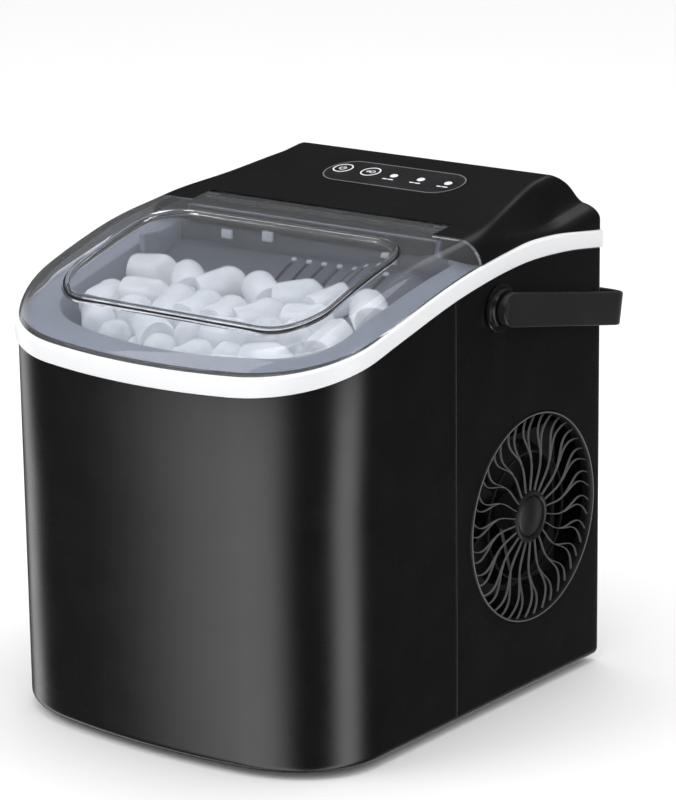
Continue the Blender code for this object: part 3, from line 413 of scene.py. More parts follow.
def arc(centre, radius, start, end, steps):
    """Points on an arc, angles in degrees."""
    points = []
    for i in range(steps + 1):
        angle = math.radians(start + (end - start) * i / steps)
        points.append((centre[0] + radius * math.cos(angle), centre[1] + radius * math.sin(angle)))
    return points


def rectangle(x0, x1, y0, y1):
    return [(x0, y0), (x1, y0), (x1, y1), (x0, y1)]


def bezier(p0, p1, p2, p3, steps):
    points = []
    for i in range(steps + 1):
        t = i / steps
        weights = ((1 - t)**3, 3 * t * (1 - t)**2, 3 * t * t * (1 - t), t**3)
        points.append(tuple(sum(w * p[k] for w, p in zip(weights, (p0, p1, p2, p3))) for k in (0, 1)))
    return points


def front_y(x, inset):
    """The bowed front's y at x, inset from the casing's outline."""
    return -(HALF_D - inset - FRONT_BOW) - FRONT_BOW * (1 - (x / (HALF_W - inset))**2)


def steps_between(start, end, step=SIDE_STEP):
    """Even stops from start to end, both included."""
    count = max(round(abs(end - start) / step), 1)
    return [start + (end - start) * i / count for i in range(count + 1)]


def corner_start(inset):
    """Where the side ends and the front corner begins."""
    return front_y(HALF_W - FRONT_RADIUS, inset) + FRONT_RADIUS - inset


CORNER_Y = corner_start(0)


def front_half(inset, side_y):
    """Right half outline from the side, at each side_y, round to the front's middle."""
    half_w = HALF_W - inset
    radius = max(FRONT_RADIUS - inset, 0.001)
    x1 = half_w - radius
    y1 = front_y(x1, inset)
    slope = 2 * FRONT_BOW * x1 / half_w**2
    length = math.hypot(1, slope)
    pull = 0.5523 * radius
    corner = bezier((half_w, y1 + radius), (half_w, y1 + radius - pull),
                    (x1 + pull / length, y1 + pull * slope / length), (x1, y1), CORNER_STEPS)
    front = [(x1 * (1 - i / FRONT_STEPS), front_y(x1 * (1 - i / FRONT_STEPS), inset))
             for i in range(1, FRONT_STEPS + 1)]
    return [(half_w, y) for y in side_y] + corner + front


def rear_half(inset, side_y, rear=HALF_D):
    """Right half outline from the side, at each side_y, round to the rear's middle."""
    half_w = HALF_W - inset
    end = rear - inset
    radius = max(REAR_RADIUS - inset, 0.0015)
    corner = arc((half_w - radius, end - radius), radius, 0, 90, 8)
    back = [((half_w - radius) * (1 - i / REAR_STEPS), end) for i in range(1, REAR_STEPS + 1)]
    return [(half_w, y) for y in side_y] + corner + back


def whole_half(inset, rear_y=None):
    """Right half of the closed outline, from the rear's middle, at rear_y, to the front's middle."""
    back = rear_half(inset, [], HALF_D if rear_y is None else rear_y + inset)[::-1]
    start, end = back[-1][1], corner_start(inset)
    side_y = [start + (end - start) * i / WHOLE_STEPS for i in range(1, WHOLE_STEPS)]
    return back + front_half(inset, side_y)


def rounded_half(half_x, y0, y1, radius, steps=10):
    """Right half of a rounded rectangle, from its rear middle to its front middle."""
    rear = arc((half_x - radius, y1 - radius), radius, 90, 0, steps)
    front = arc((half_x - radius, y0 + radius), radius, 0, -90, steps)
    sides = [(half_x, y) for y in steps_between(y1 - radius, y0 + radius)[1:-1]]
    return [(0, y1)] + rear + sides + front + [(0, y0)]


# ---------------------------------------------------------------- mesh building

def face(bm, *verts):
    """A face without repeated corners, where there is one."""
    corners = list(dict.fromkeys(verts))
    if len(corners) > 2:
        bm.faces.new(corners)


def half_ring(bm, half, height):
    """A ring's right and left vertices, the left one mirrored in x."""
    right = [bm.verts.new((x, y, height(x, y))) for x, y in half]
    left = [v if abs(v.co.x) < 1e-7 else bm.verts.new((-v.co.x, v.co.y, v.co.z)) for v in right]
    return right, left


def fill_across(bm, right, left):
    """Fill a ring with strips from side to side; a straight end goes into the strip beside it."""
    start = 0
    while start < len(right) - 1:
        end = start + 1
        while end < len(right) - 1 and abs(right[end].co.y - right[start].co.y) < 1e-7:
            end += 1
        if abs(right[end].co.y - right[start].co.y) < 1e-7:
            break
        stop = end
        while stop < len(right) - 1 and abs(right[stop + 1].co.y - right[end].co.y) < 1e-7:
            stop += 1
        face(bm, *right[start:stop + 1], *reversed(left[start:stop + 1]))
        start = stop


def ring_solid(rings, looped=False):
    """A closed solid through rings of (half outline, height rule).

    The first and last ring are filled across, or, when looped, the last ring joins the first.
    """
    bm = bmesh.new()
    made = [half_ring(bm, half, height) for half, height in rings]
    pairs = list(zip(made, made[1:]))
    if looped:
        pairs.append((made[-1], made[0]))
    for a, b in pairs:
        for side in (0, 1):
            for i in range(len(a[side]) - 1):
                face(bm, a[side][i], a[side][i + 1], b[side][i + 1], b[side][i])
        if not looped:
            face(bm, a[0][0], a[1][0], b[1][0], b[0][0])
    if not looped:
        fill_across(bm, *made[0])
        fill_across(bm, *made[-1])
    elif made[0][0][0] is not made[0][1][0]:
        for side in (0, 1):
            face(bm, *[ring[side][0] for ring in made])
    return bm


def prism(points, low, high, matrix=None):
    """An outline in local XY from z = low to z = high."""
    bm = bmesh.new()
    bottom = [bm.verts.new((x, y, low)) for x, y in points]
    top = [bm.verts.new((x, y, high)) for x, y in points]
    count = len(points)
    for i in range(count):
        j = (i + 1) % count
        face(bm, bottom[i], bottom[j], top[j], top[i])
    face(bm, *bottom)
    face(bm, *top)
    bm.transform(matrix or Matrix.Identity(4))
    return bm


def turned(profile, steps=48, matrix=None, looped=False):
    """A solid turned about local Z from a profile of (radius, height)."""
    bm = bmesh.new()
    rings = []
    for radius, z in profile:
        if radius < 1e-7:
            rings.append([bm.verts.new((0, 0, z))] * steps)
            continue
        angles = [2 * math.pi * i / steps for i in range(steps)]
        rings.append([bm.verts.new((radius * math.cos(a), radius * math.sin(a), z)) for a in angles])
    pairs = list(zip(rings, rings[1:]))
    if looped:
        pairs.append((rings[-1], rings[0]))
    for a, b in pairs:
        for i in range(steps):
            j = (i + 1) % steps
            face(bm, a[i], a[j], b[j], b[i])
    bm.transform(matrix or Matrix.Identity(4))
    return bm


def face_outward(bm):
    """Turn every face outward."""
    bmesh.ops.recalc_face_normals(bm, faces=bm.faces[:])
    if bm.calc_volume(signed=True) < 0:
        bmesh.ops.reverse_faces(bm, faces=bm.faces[:])


def merged(parts):
    """Several meshes as one."""
    bm = bmesh.new()
    for part in parts:
        mesh = bpy.data.meshes.new("part")
        face_outward(part)
        part.to_mesh(mesh)
        part.free()
        bm.from_mesh(mesh)
        bpy.data.meshes.remove(mesh)
    return bm


def in_scene(name, data):
    """A new object in the scene."""
    obj = bpy.data.objects.new(name, data)
    bpy.context.scene.collection.objects.link(obj)
    return obj


def shape(name, bm):
    """An object, still in the casing's own frame."""
    face_outward(bm)
    mesh = bpy.data.meshes.new(name)
    bm.to_mesh(mesh)
    bm.free()
    return in_scene(name, mesh)


def combine(obj, operation, *others):
    """Cut, join or intersect an object with others, which go away."""
    for other in others:
        mod = obj.modifiers.new("combine", "BOOLEAN")
        mod.operation = operation
        mod.solver = "EXACT"
        mod.object = other
    depsgraph = bpy.context.evaluated_depsgraph_get()
    mesh = bpy.data.meshes.new_from_object(obj.evaluated_get(depsgraph))
    obj.modifiers.clear()
    obj.data = mesh
    for other in others:
        bpy.data.objects.remove(other, do_unlink=True)
    return obj


def finish(obj, mat, body="casing", replaces=(), angle=38):
    """Place a shape in the row frame and say what it is."""
    obj.data.transform(Matrix.Translation(ORIGIN))
    obj.data.materials.clear()
    obj.data.materials.append(mat)
    obj.data.shade_smooth()
    obj.data.set_sharp_from_angle(angle=math.radians(angle))
    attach(obj, body)
    if replaces:
        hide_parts(*replaces)
    return obj


def block(low, high, matrix=None, round_by=0.0):
    """A box with rounded edges."""
    bm = bmesh.new()
    bmesh.ops.create_cube(bm, size=1.0)
    size = [b - a for a, b in zip(low, high)]
    bmesh.ops.scale(bm, vec=size, verts=bm.verts[:])
    bmesh.ops.translate(bm, vec=[(a + b) / 2 for a, b in zip(low, high)], verts=bm.verts[:])
    if round_by:
        bmesh.ops.bevel(bm, geom=bm.edges[:], offset=round_by, segments=3, profile=0.5, affect="EDGES")
    bm.transform(matrix or Matrix.Identity(4))
    return bm


def slot_outline(length, width, steps=6):
    """A slot with round ends, long along local Y."""
    r = width / 2
    return (arc((0, length / 2 - r), r, 0, 180, steps) + arc((0, -length / 2 + r), r, 180, 360, steps))


# ---------------------------------------------------------------- casing shells

def rounding(radius, inset):
    """How far a rounded edge lies below its face, at a distance in from the edge."""
    return radius - math.sqrt(radius**2 - (radius - inset)**2) if inset < radius else 0.0


def quarter(radius, steps=5):
    """(inset, height) pairs of a rounded edge, from the face below to the one beside it."""
    return [(radius * (1 - math.sin(math.radians(90 * i / steps))),
             radius * (1 - math.cos(math.radians(90 * i / steps)))) for i in range(steps + 1)]


def ease(distance):
    """How far a wall's rounded end falls back, at a distance from the end."""
    return rounding(SEAM_EASE, distance)


def shell_rings(outline, seam):
    """Rings of a casing wall: up the outside, over the top edge and down the inside."""
    def eased(inset):
        return [(x - ease(abs(y - seam)) if x > 0.1 else x, y) for x, y in outline(inset)]

    rings = [(outline(BASE_INSET), level(0))]
    rings += [(eased(inset), level(z)) for inset, z in quarter(BOTTOM_ROUND, 8)]
    top = -GAP - TOP_EASE
    for share in (0.3, 0.65):
        rings.append((eased(0), lambda x, y, s=share: BOTTOM_ROUND + s * (band_z(y) + top - BOTTOM_ROUND)))
    rings += [(eased(inset), on_band(top + z))
              for inset, z in ((0, 0), (0.0002, 0.0004), (TOP_EASE, TOP_EASE))]
    return rings + [(outline(WALL), on_band(-GAP)), (outline(WALL), level(BOTTOM_ROUND)),
                    (outline(BASE_INSET), level(WALL))]


def seam_stops(seam, end):
    """Side stops from a seam, close together where its edge is rounded."""
    sign = 1 if end > seam else -1
    first = [seam + sign * d for d in (0, 0.0001, 0.0002, SEAM_EASE)]
    return first + steps_between(seam + sign * 3 * SEAM_EASE, end)[:-1]


def make_front_shell():
    stops = seam_stops(SEAM_Y, CORNER_Y)
    bm = ring_solid(shell_rings(lambda inset: front_half(inset, stops), SEAM_Y), looped=True)
    shell = shape("front_casing", bm)
    at = move(-HALF_W, *DRAIN_AT) @ rotate(90, "Y")
    combine(shell, "DIFFERENCE", shape("hole", rod(0.0056, -0.01, 0.01, at, 32)))
    finish(shell, CASING, replaces=["front_shell"])


def placed(x, y, z, *rows):
    """A place in the casing's frame, with the rows of its rotation."""
    return move(x, y, z) @ Matrix(rows).to_4x4()


def side_matrix(y, z):
    """Local Z along the object's +X, local Y up."""
    return placed(0, y, z, (0, 0, 1), (1, 0, 0), (0, 1, 0))


def rear_matrix(x, z):
    """Local Z along the object's +Y, local Y up."""
    return placed(x, HALF_D, z, (-1, 0, 0), (0, 0, 1), (0, 1, 0))


def rod(radius, low, high, matrix, steps=48):
    return turned([(0, low), (radius, low), (radius, high), (0, high)], steps, matrix)


def make_rear_shell():
    seam = SEAM_Y + GAP
    stops = seam_stops(seam, HALF_D - REAR_RADIUS)
    shell = shape("rear_casing", ring_solid(shell_rings(lambda inset: rear_half(inset, stops), seam),
                                            looped=True))
    reach = 0.01
    cuts = [rod(GRILLE_R + GAP, HALF_W - reach, HALF_W + reach, side_matrix(*FAN_AXIS), 96)]
    for centre in (-HALF_W, HALF_W):
        cuts.append(rod(0.0066, centre - reach, centre + reach, side_matrix(*HANDLE_AXIS), 32))
    for i in range(9):
        shift = (i - 4) * VENT_PITCH
        cuts.append(prism(slot_outline(0.070, VENT_WIDTH), -HALF_W - reach, -HALF_W + reach,
                          side_matrix(0.068 + shift, 0.110)))
        cuts.append(prism(slot_outline(0.090, VENT_WIDTH), -0.015, 0.015, rear_matrix(0.030 + shift, 0.100)))
    cuts.append(rod(0.0058, -reach, reach, rear_matrix(0.085, 0.024), 32))
    combine(shell, "DIFFERENCE", shape("cuts", merged(cuts)))
    finish(shell, CASING, replaces=["rear_shell"])


def make_vent_shade_screens():
    """Ribbed dark screens behind the slots of the left side and the back: painted shade that keeps the
    inside behind the vents black.
    """
    parts = []
    for i in range(20):
        near = WALL + 0.0002 + 0.0003 * (i % 2)
        y = 0.030 + 0.004 * i
        parts.append(block((-HALF_W + near, y, 0.070), (-HALF_W + near + 0.0005, y + 0.0044, 0.150)))
        x = -0.010 + 0.004 * i
        parts.append(block((x, HALF_D - near - 0.0005, 0.050), (x + 0.0044, HALF_D - near, 0.150)))
    finish(shape("vent_shade_screens", merged(parts)), SATIN)


def make_trim_band():
    edge = 0.0009
    outside = [(-BAND_PROUD + i, z) for i, z in quarter(edge, 4)]
    profile = outside + [(i, BAND_HEIGHT - z) for i, z in reversed(outside)]
    profile += [(BAND_DEPTH, BAND_HEIGHT), (BAND_DEPTH, 0)]
    rings = [(whole_half(inset), on_band(lift)) for inset, lift in profile]
    finish(shape("trim_band_fine", ring_solid(rings, looped=True)), WHITE,
           replaces=["trim_band"])


# ---------------------------------------------------------------- top surfaces

def side_drop(inset, y):
    """How far the top surface lies below its centre line, at a distance in from the side."""
    drop = rounding(EDGE_ROUND, inset)
    fade = smooth_step(LID_REAR_Y, LID_REAR_Y + SHOULDER_LENGTH, y)
    linear = min(max((y - LID_REAR_Y) / SHOULDER_LENGTH, 0), 1)
    reach = SHOULDER_START + (1 - SHOULDER_START) * linear
    fall = SHOULDER_DROP * fade * (1 - smooth_step(SHOULDER_OUT, SHOULDER_IN, inset / reach))
    return drop * (1 - REAR_SHARPER * linear) + fall


EDGE_INSETS = [EDGE_ROUND * (1 - math.cos(math.radians(6 * i))) for i in range(16)]
SHOULDER_INSETS = [EDGE_ROUND + 0.0012 * i for i in range(1, 14)]


def softer_min(a, b):
    """The smaller of two heights, with the crease between them rounded."""
    return min(a, b) - CREASE * math.log1p(math.exp(-abs(a - b) / CREASE))


def cover_surface(shrink):
    """Height rule of the top cover, shrunk by a wall."""
    rear = HALF_D - shrink
    radius = REAR_ROUND - shrink
    crown = top_z(rear - radius) - shrink

    def height(x, y):
        edge = cover_edge(y, shrink)
        z = top_z(y) - side_drop(max(edge - abs(x), 0), y) - shrink
        back = min(max(y - (rear - radius), 0), radius)
        cap = crown - radius + math.sqrt(radius**2 - back**2)
        return softer_min(z, cap + 0.0012) if back > 0 or y > rear - radius - 0.01 else z
    return height


def cover_edge(y, shrink):
    """Half width of the cover at y, with its rear corners rounded."""
    radius = REAR_RADIUS
    back = y - (HALF_D - shrink - radius)
    cut = radius - math.sqrt(max(radius**2 - back**2, 0)) if back > 0 else 0
    return HALF_W - shrink - cut


def cover_solid(shrink, low):
    """The solid under the cover's surface, down to a height rule."""
    rear = HALF_D - shrink
    radius = REAR_ROUND - shrink
    rows = steps_between(-0.01, rear - radius, 0.003)
    rows += [rear - radius + radius * math.sin(math.radians(a)) for a in range(5, 90, 5)] + [rear - 0.00002]
    height = cover_surface(shrink)
    bm = bmesh.new()
    tops, bottoms = [], []
    for y in rows:
        edge = cover_edge(y, shrink)
        inner = edge - SHOULDER_INSETS[-1]
        xs = [edge - d for d in EDGE_INSETS + SHOULDER_INSETS] + [inner * (1 - i / 6) for i in range(1, 7)]
        xs = [-x for x in xs[:-1]] + xs[::-1]
        tops.append([bm.verts.new((x, y, height(x, y))) for x in xs])
        bottoms.append([bm.verts.new((x, y, low(x, y))) for x in xs])
    for k in range(len(rows) - 1):
        for i in range(len(tops[0]) - 1):
            face(bm, tops[k][i], tops[k][i + 1], tops[k + 1][i + 1], tops[k + 1][i])
            face(bm, bottoms[k][i], bottoms[k][i + 1], bottoms[k + 1][i + 1], bottoms[k + 1][i])
        for end in (0, -1):
            face(bm, tops[k][end], tops[k + 1][end], bottoms[k + 1][end], bottoms[k][end])
    for k in (0, -1):
        for i in range(len(tops[0]) - 1):
            face(bm, tops[k][i], tops[k][i + 1], bottoms[k][i + 1], bottoms[k][i])
    return bm


def make_top_cover():
    cover = shape("top_cover_fine", cover_solid(0, on_band(-0.015)))
    hollow = shape("hollow", cover_solid(WALL, on_band(-0.025)))
    front, tab, half = LID_REAR_Y + GAP, TAB_REAR_Y + GAP, TAB_HALF_W + GAP
    room = shape("room", prism([(-0.15, front), (-half, front), (-half, tab), (half, tab), (half, front),
                                (0.15, front), (0.15, -0.05), (-0.15, -0.05)], 0.1, 0.4))
    recess = shape("recess", prism(panel_outline(GAP), -0.0016, 0.01, PANEL_MATRIX))
    wells = [rod(BUTTON_R + GAP, -0.01, 0.01, PANEL_MATRIX @ in_key_row(x)) for x in BUTTON_X]
    combine(cover, "DIFFERENCE", hollow, space_below(BAND_HEIGHT + GAP), room, recess,
            shape("wells", merged(wells)))
    finish(cover, CASING, replaces=["top_cover"])


# ---------------------------------------------------------------- lid

LID_SIDE_Y = steps_between(0.042, CORNER_Y)[:-1]
HINGE_Y = TAB_REAR_Y - HINGE_R
HINGE_Z = top_z(HINGE_Y) - HINGE_R


def lid_solid(shrink, foot):
    """The solid under the lid's surface, shrunk by a wall, down to a lift over the band's line."""
    def rule(inset):
        return lambda x, y: top_z(y) - side_drop(inset, y) - shrink

    rings = [(front_half(shrink, LID_SIDE_Y), on_band(foot))]
    rings += [(front_half(inset + shrink, LID_SIDE_Y), rule(inset))
              for inset in EDGE_INSETS + SHOULDER_INSETS[::3]]
    return ring_solid(rings)


def space_below(lift):
    """The space from well below up to a lift over the band's line."""
    outline = whole_half(-0.02)
    return shape("below", ring_solid([(outline, level(0.14)), (outline, on_band(lift))]))


def window_half(inset=0.0):
    y0, y1 = WINDOW_Y
    return rounded_half(WINDOW_HALF_W - inset, y0 + inset, y1 - inset, WINDOW_R - inset, 14)


def closed(half):
    """A half outline as a whole one."""
    return half + [(-x, y) for x, y in reversed(half) if x > 1e-7]


def make_lid():
    lid = shape("lid_clear_shell", lid_solid(0, -0.015))
    half = TAB_HALF_W
    zone = shape("zone", prism([(-0.15, -0.2), (0.15, -0.2), (0.15, LID_REAR_Y), (half, LID_REAR_Y),
                                (half, HINGE_Y), (-half, HINGE_Y), (-half, LID_REAR_Y),
                                (-0.15, LID_REAR_Y)], 0.1, 0.4))
    combine(lid, "INTERSECT", zone)
    hollow = shape("hollow", lid_solid(LID_WALL, -0.025))
    hole = shape("hole", prism(closed(window_half(-0.0016)), 0.1, 0.4))
    combine(lid, "DIFFERENCE", hollow, space_below(BAND_HEIGHT + GAP), hole)
    barrel = shape("barrel", rod(HINGE_R, -half, half, side_matrix(HINGE_Y, HINGE_Z), 32))
    combine(lid, "UNION", barrel)
    finish(lid, CLEAR, "lid", ["lid_shell"], angle=30)


def make_lid_window():
    """A raised pane with a rounded edge and a wall down to the lid."""
    edge = 0.0012
    outer = [(0, -LID_WALL)] + [(i, WINDOW_RISE - z) for i, z in reversed(quarter(edge, 5))]
    top = [(0.004, WINDOW_RISE), (0.012, WINDOW_RISE)]
    under = [(inset, WINDOW_RISE - LID_WALL) for inset in (0.012, 0.004)]
    inner = [(LID_WALL, WINDOW_RISE - LID_WALL - 0.0004), (LID_WALL, -LID_WALL)]
    rings = [(window_half(inset), above(TOP_LINE, lift)) for inset, lift in
             reversed(outer + top)] + [(window_half(inset), above(TOP_LINE, lift))
                                       for inset, lift in reversed(under + inner)]
    finish(shape("lid_window_pane", ring_solid(rings)), CLEAR, "lid", ["lid_window"], angle=30)


def make_window_seal():
    profile = [(-0.0013, -LID_WALL), (-0.0013, 0.0001), (-0.0010, 0.0004), (-0.0006, 0.0004), (-GAP, 0.0001),
               (-GAP, -LID_WALL)]
    rings = [(window_half(inset), above(TOP_LINE, lift)) for inset, lift in profile]
    finish(shape("window_gasket", ring_solid(rings, looped=True)), SEAL, "lid", ["window_seal"])


# ---------------------------------------------------------------- ice chamber

def make_tub():
    outer_rear, inner_rear = TUB_REAR_Y + TUB_WALL, TUB_REAR_Y
    outer = TUB_INSET - TUB_WALL
    profile = [(outer, outer_rear, level(TUB_FLOOR_Z - TUB_WALL)),
               (outer, outer_rear, on_band(FLANGE_LOW)),
               (BAND_DEPTH + GAP, outer_rear + 0.0005, on_band(FLANGE_LOW)),
               (BAND_DEPTH + GAP, outer_rear + 0.0005, on_band(FLANGE_HIGH)),
               (TUB_INSET - 0.0016, inner_rear + 0.0016, on_band(FLANGE_HIGH)),
               (TUB_INSET - 0.0006, inner_rear + 0.0006, on_band(FLANGE_HIGH - 0.0005)),
               (TUB_INSET, inner_rear, on_band(FLANGE_HIGH - 0.0018)),
               (TUB_INSET, inner_rear, level(TUB_FLOOR_Z + 0.006)),
               (TUB_INSET + 0.0018, inner_rear - 0.0018, level(TUB_FLOOR_Z + 0.0018)),
               (TUB_INSET + 0.006, inner_rear - 0.006, level(TUB_FLOOR_Z))]
    rings = [(whole_half(inset, rear), rule) for inset, rear, rule in profile]
    tub = shape("ice_tub_fine", ring_solid(rings))
    back = block((-0.084, TUB_REAR_Y + 0.0001, 0.20), (0.084, outer_rear - 0.0002, 0.2465))
    combine(tub, "UNION", shape("back", back))
    holes = [rod(radius, -0.1, 0.1, side_matrix(*axis), 24)
             for radius, axis in ((0.0034, TRAY_AXIS), (0.0024, SHOVEL_AXIS))]
    combine(tub, "DIFFERENCE", shape("holes", merged(holes)))
    finish(tub, GREY, replaces=["ice_tub"])


def make_tub_fittings():
    """Guide rail on the left wall, snap tabs round the chamber, and a darker grey sheet of painted shade on
    its back wall.
    """
    wall = HALF_W - TUB_INSET
    rail = block((-wall + 0.0002, -0.012, 0.196), (-wall + 0.004, 0.0, 0.236), move(0, -0.004, 0), 0.0008)
    finish(shape("tub_guide_rail", rail), GREY)
    width, edge = 0.007, 0.0006
    tabs = []
    for x, z in ((-0.058, 0.2375), (-0.030, 0.2395), (0.052, 0.2375)):
        low = (x, TUB_REAR_Y - 0.0036, z - 0.005)
        tabs.append(block(low, (x + width, TUB_REAR_Y - 0.0014, z), None, edge))
    for y in (-0.012, 0.004):
        z = band_z(y) + 0.004
        tabs.append(block((wall - 0.0034, y, z - 0.006), (wall - 0.0002, y + width, z), None, edge))
    finish(shape("tub_snap_tabs", merged(tabs)), PALE)
    # A darker grey sheet across the chamber's back wall: painted shade where the lid's tab shades it.
    rear = TUB_REAR_Y - GAP
    shade_sheet = block((-HOOD_HALF_W, rear - 0.0010, 0.2290), (HOOD_HALF_W, rear, 0.2383), None, 0.0003)
    finish(shape("chamber_back_painted_shade", shade_sheet), SHADED_GREY)


def make_rear_deck():
    """Black ledge under the lid's tab, with a black lip down the front of the chamber's back wall as painted
    shade under the tab.
    """
    top = HINGE_Z - HINGE_R - 0.0008
    ledge, lip, edge = 0.0780, 0.0820, 0.0004
    # The second block is the lip: painted shade darkening the top of the chamber's back wall.
    parts = [block((-ledge, TUB_REAR_Y + TUB_WALL + 0.0006, top - 0.0016), (ledge, TAB_REAR_Y + 0.0030, top),
                   None, edge),
             block((-lip, TUB_REAR_Y - 0.0022, 0.2385), (lip, TUB_REAR_Y - 0.0004, 0.2462), None, edge)]
    finish(shape("rear_deck_and_shade_lip", merged(parts)), SATIN)


def hood_z(y):
    (y0, y1), (z0, z1) = HOOD_Y, HOOD_Z
    return z0 + (z1 - z0) * (y - y0) / (y1 - y0)


def make_hood():
    """The sloping slide over the evaporator with its comb of slots."""
    (y0, y1), (z0, z1) = HOOD_Y, HOOD_Z
    wall, lip = 0.002, 0.004
    nose = arc((y0 + 0.001, z0 - 0.001), 0.001, 180, 115, 4)
    outline = nose + [(y1, z1), (y1, z1 - wall), (y0 + wall, z0 - wall / 2),
                      (y0 + wall, z0 - lip), (y0, z0 - lip)]
    hood = shape("evaporator_slide", prism(outline, -HOOD_HALF_W, HOOD_HALF_W, side_matrix(0, 0)))
    slots, beads = [], []
    bead_y = 0.0145
    slope = math.atan2(z1 - z0, y1 - y0)
    for i in range(7):
        x = HOOD_SLOT_X + i * HOOD_SLOT_PITCH
        slots.append(prism(slot_outline(0.021, 0.0026), 0.18, 0.25, move(x, 0.0030, 0)))
        at = move(x, bead_y, hood_z(bead_y)) @ Matrix.Rotation(slope, 4, "X")
        beads.append(block((-0.0015, -0.0012, -0.0006), (0.0015, 0.0012, 0.0010), at, 0.0005))
    combine(hood, "DIFFERENCE", shape("slots", merged(slots)))
    # The slide takes the darker grey copy: painted shade under the lid's tab.
    finish(hood, SHADED_GREY, replaces=["evaporator_hood"])
    # Pale beads at the slots' upper ends, which also stand in for the light on those ends: partly painted
    # highlight.
    finish(shape("slide_comb_beads_and_highlight", merged(beads)), PALE)


def make_basket():
    low, high = BASKET_Z

    def rim(x, y):
        return high - (high - BASKET_REAR_TOP) * smooth_step(-0.078, -0.052, y)

    outer, inner = BASKET_INSET, BASKET_INSET + BASKET_WALL
    rear_in = BASKET_REAR_Y - BASKET_WALL
    profile = [(outer, BASKET_REAR_Y, level(low)), (outer, BASKET_REAR_Y, lambda x, y: rim(x, y) - 0.0006),
               (outer + 0.0005, BASKET_REAR_Y - 0.0005, rim), (inner - 0.0005, rear_in + 0.0005, rim),
               (inner, rear_in, lambda x, y: rim(x, y) - 0.0006), (inner, rear_in, level(low + BASKET_WALL))]
    rings = [(whole_half(inset, rear), rule) for inset, rear, rule in profile]
    basket = shape("ice_basket_fine", ring_solid(rings))
    cuts = []
    for i in range(-3, 4):
        front = move(i * 0.018, -0.100, 0.140) @ rotate(90, "X")
        cuts.append(prism(slot_outline(0.056, 0.005), -0.015, 0.015, front))
        cuts.append(prism(slot_outline(0.036, 0.006), -0.01, 0.01, move(i * 0.020, -0.070, low)))
    combine(basket, "DIFFERENCE", shape("cuts", merged(cuts)))
    finish(basket, GREY, "basket", ["ice_basket"])


def make_shovel():
    y, z = SHOVEL_AXIS
    blade = block((-0.060, y - 0.001, z), (0.060, y + 0.001, z + SHOVEL_HEIGHT), None, 0.0004)
    plate = shape("ice_shovel_fine", blade)
    cuts = []
    for i in range(8):
        at = move((i - 3.5) * 0.014, y, z + 0.0095) @ rotate(90, "X")
        cuts.append(prism(slot_outline(0.009, 0.004), -0.01, 0.01, at))
    combine(plate, "DIFFERENCE", shape("cuts", merged(cuts)))
    combine(plate, "UNION", shape("shaft", rod(0.0020, -0.0925, 0.0925, side_matrix(y, z), 24)))
    finish(plate, GREY, "shovel", ["ice_shovel"])


# ---------------------------------------------------------------- ice

def ice_ceiling(x, y):
    """Height that ice points stay under, so that the basket can lift with the lid shut."""
    roof = np.interp(y, [y for y, z in TOP_LINE], [z for y, z in TOP_LINE]) - LID_WALL
    under_window = (np.abs(x) < 0.066) & (y > -0.082) & (y < -0.016)
    return roof + np.where(under_window, WINDOW_RISE, 0) - ICE_LIFT_ROOM - ICE_R


def keep_in_basket(points):
    """Move ice points off the walls, the shovel's sweep, the slide and the lid."""
    inner = BASKET_INSET + BASKET_WALL
    half = HALF_W - inner - ICE_R
    points[:, 0] = np.clip(points[:, 0], -half, half)
    front = front_y(points[:, 0], inner)
    corner = 0.012 * np.clip((np.abs(points[:, 0]) - 0.052) / 0.020, 0, 1)**2
    points[:, 1] = np.maximum(points[:, 1], front + ICE_R + corner)
    low = points[:, 2] < SHOVEL_AXIS[1] - SHOVEL_BELOW
    rear = np.where(low, BASKET_REAR_Y - BASKET_WALL - ICE_R, ICE_BACK)
    points[:, 1] = np.minimum(points[:, 1], rear)
    nearest = np.clip(points[:, 2], SHOVEL_AXIS[1] - SHOVEL_BELOW, SHOVEL_AXIS[1])
    away = np.column_stack((points[:, 1] - SHOVEL_AXIS[0], points[:, 2] - nearest))
    distance = np.maximum(np.linalg.norm(away, axis=1), 1e-6)
    clear = SHOVEL_HEIGHT + 0.001 + ICE_R
    short = np.where((distance < clear) & ~low, clear - distance, 0) / distance
    points[:, 1] += away[:, 0] * short
    points[:, 2] += away[:, 1] * short
    slope = (HOOD_Z[1] - HOOD_Z[0]) / (HOOD_Y[1] - HOOD_Y[0])
    slide = HOOD_Z[0] + slope * (points[:, 1] - HOOD_Y[0]) + ICE_R * math.hypot(1, slope) + 0.0003
    floor = np.where(points[:, 1] > HOOD_Y[0] - ICE_R, slide, BASKET_Z[0] + BASKET_WALL + ICE_R)
    points[:, 2] = np.maximum(np.minimum(points[:, 2], ice_ceiling(points[:, 0], points[:, 1])), floor)


def push_apart(points, other):
    """Half of each pair's overlap, summed for every end."""
    gap = points[:, None] - points[None]
    distance = np.linalg.norm(gap, axis=2) + 1e-9
    overlap = np.where(other & (distance < 2 * ICE_R), 2 * ICE_R - distance, 0)
    return ICE_PUSH * (gap * (overlap / distance)[:, :, None]).sum(axis=1)


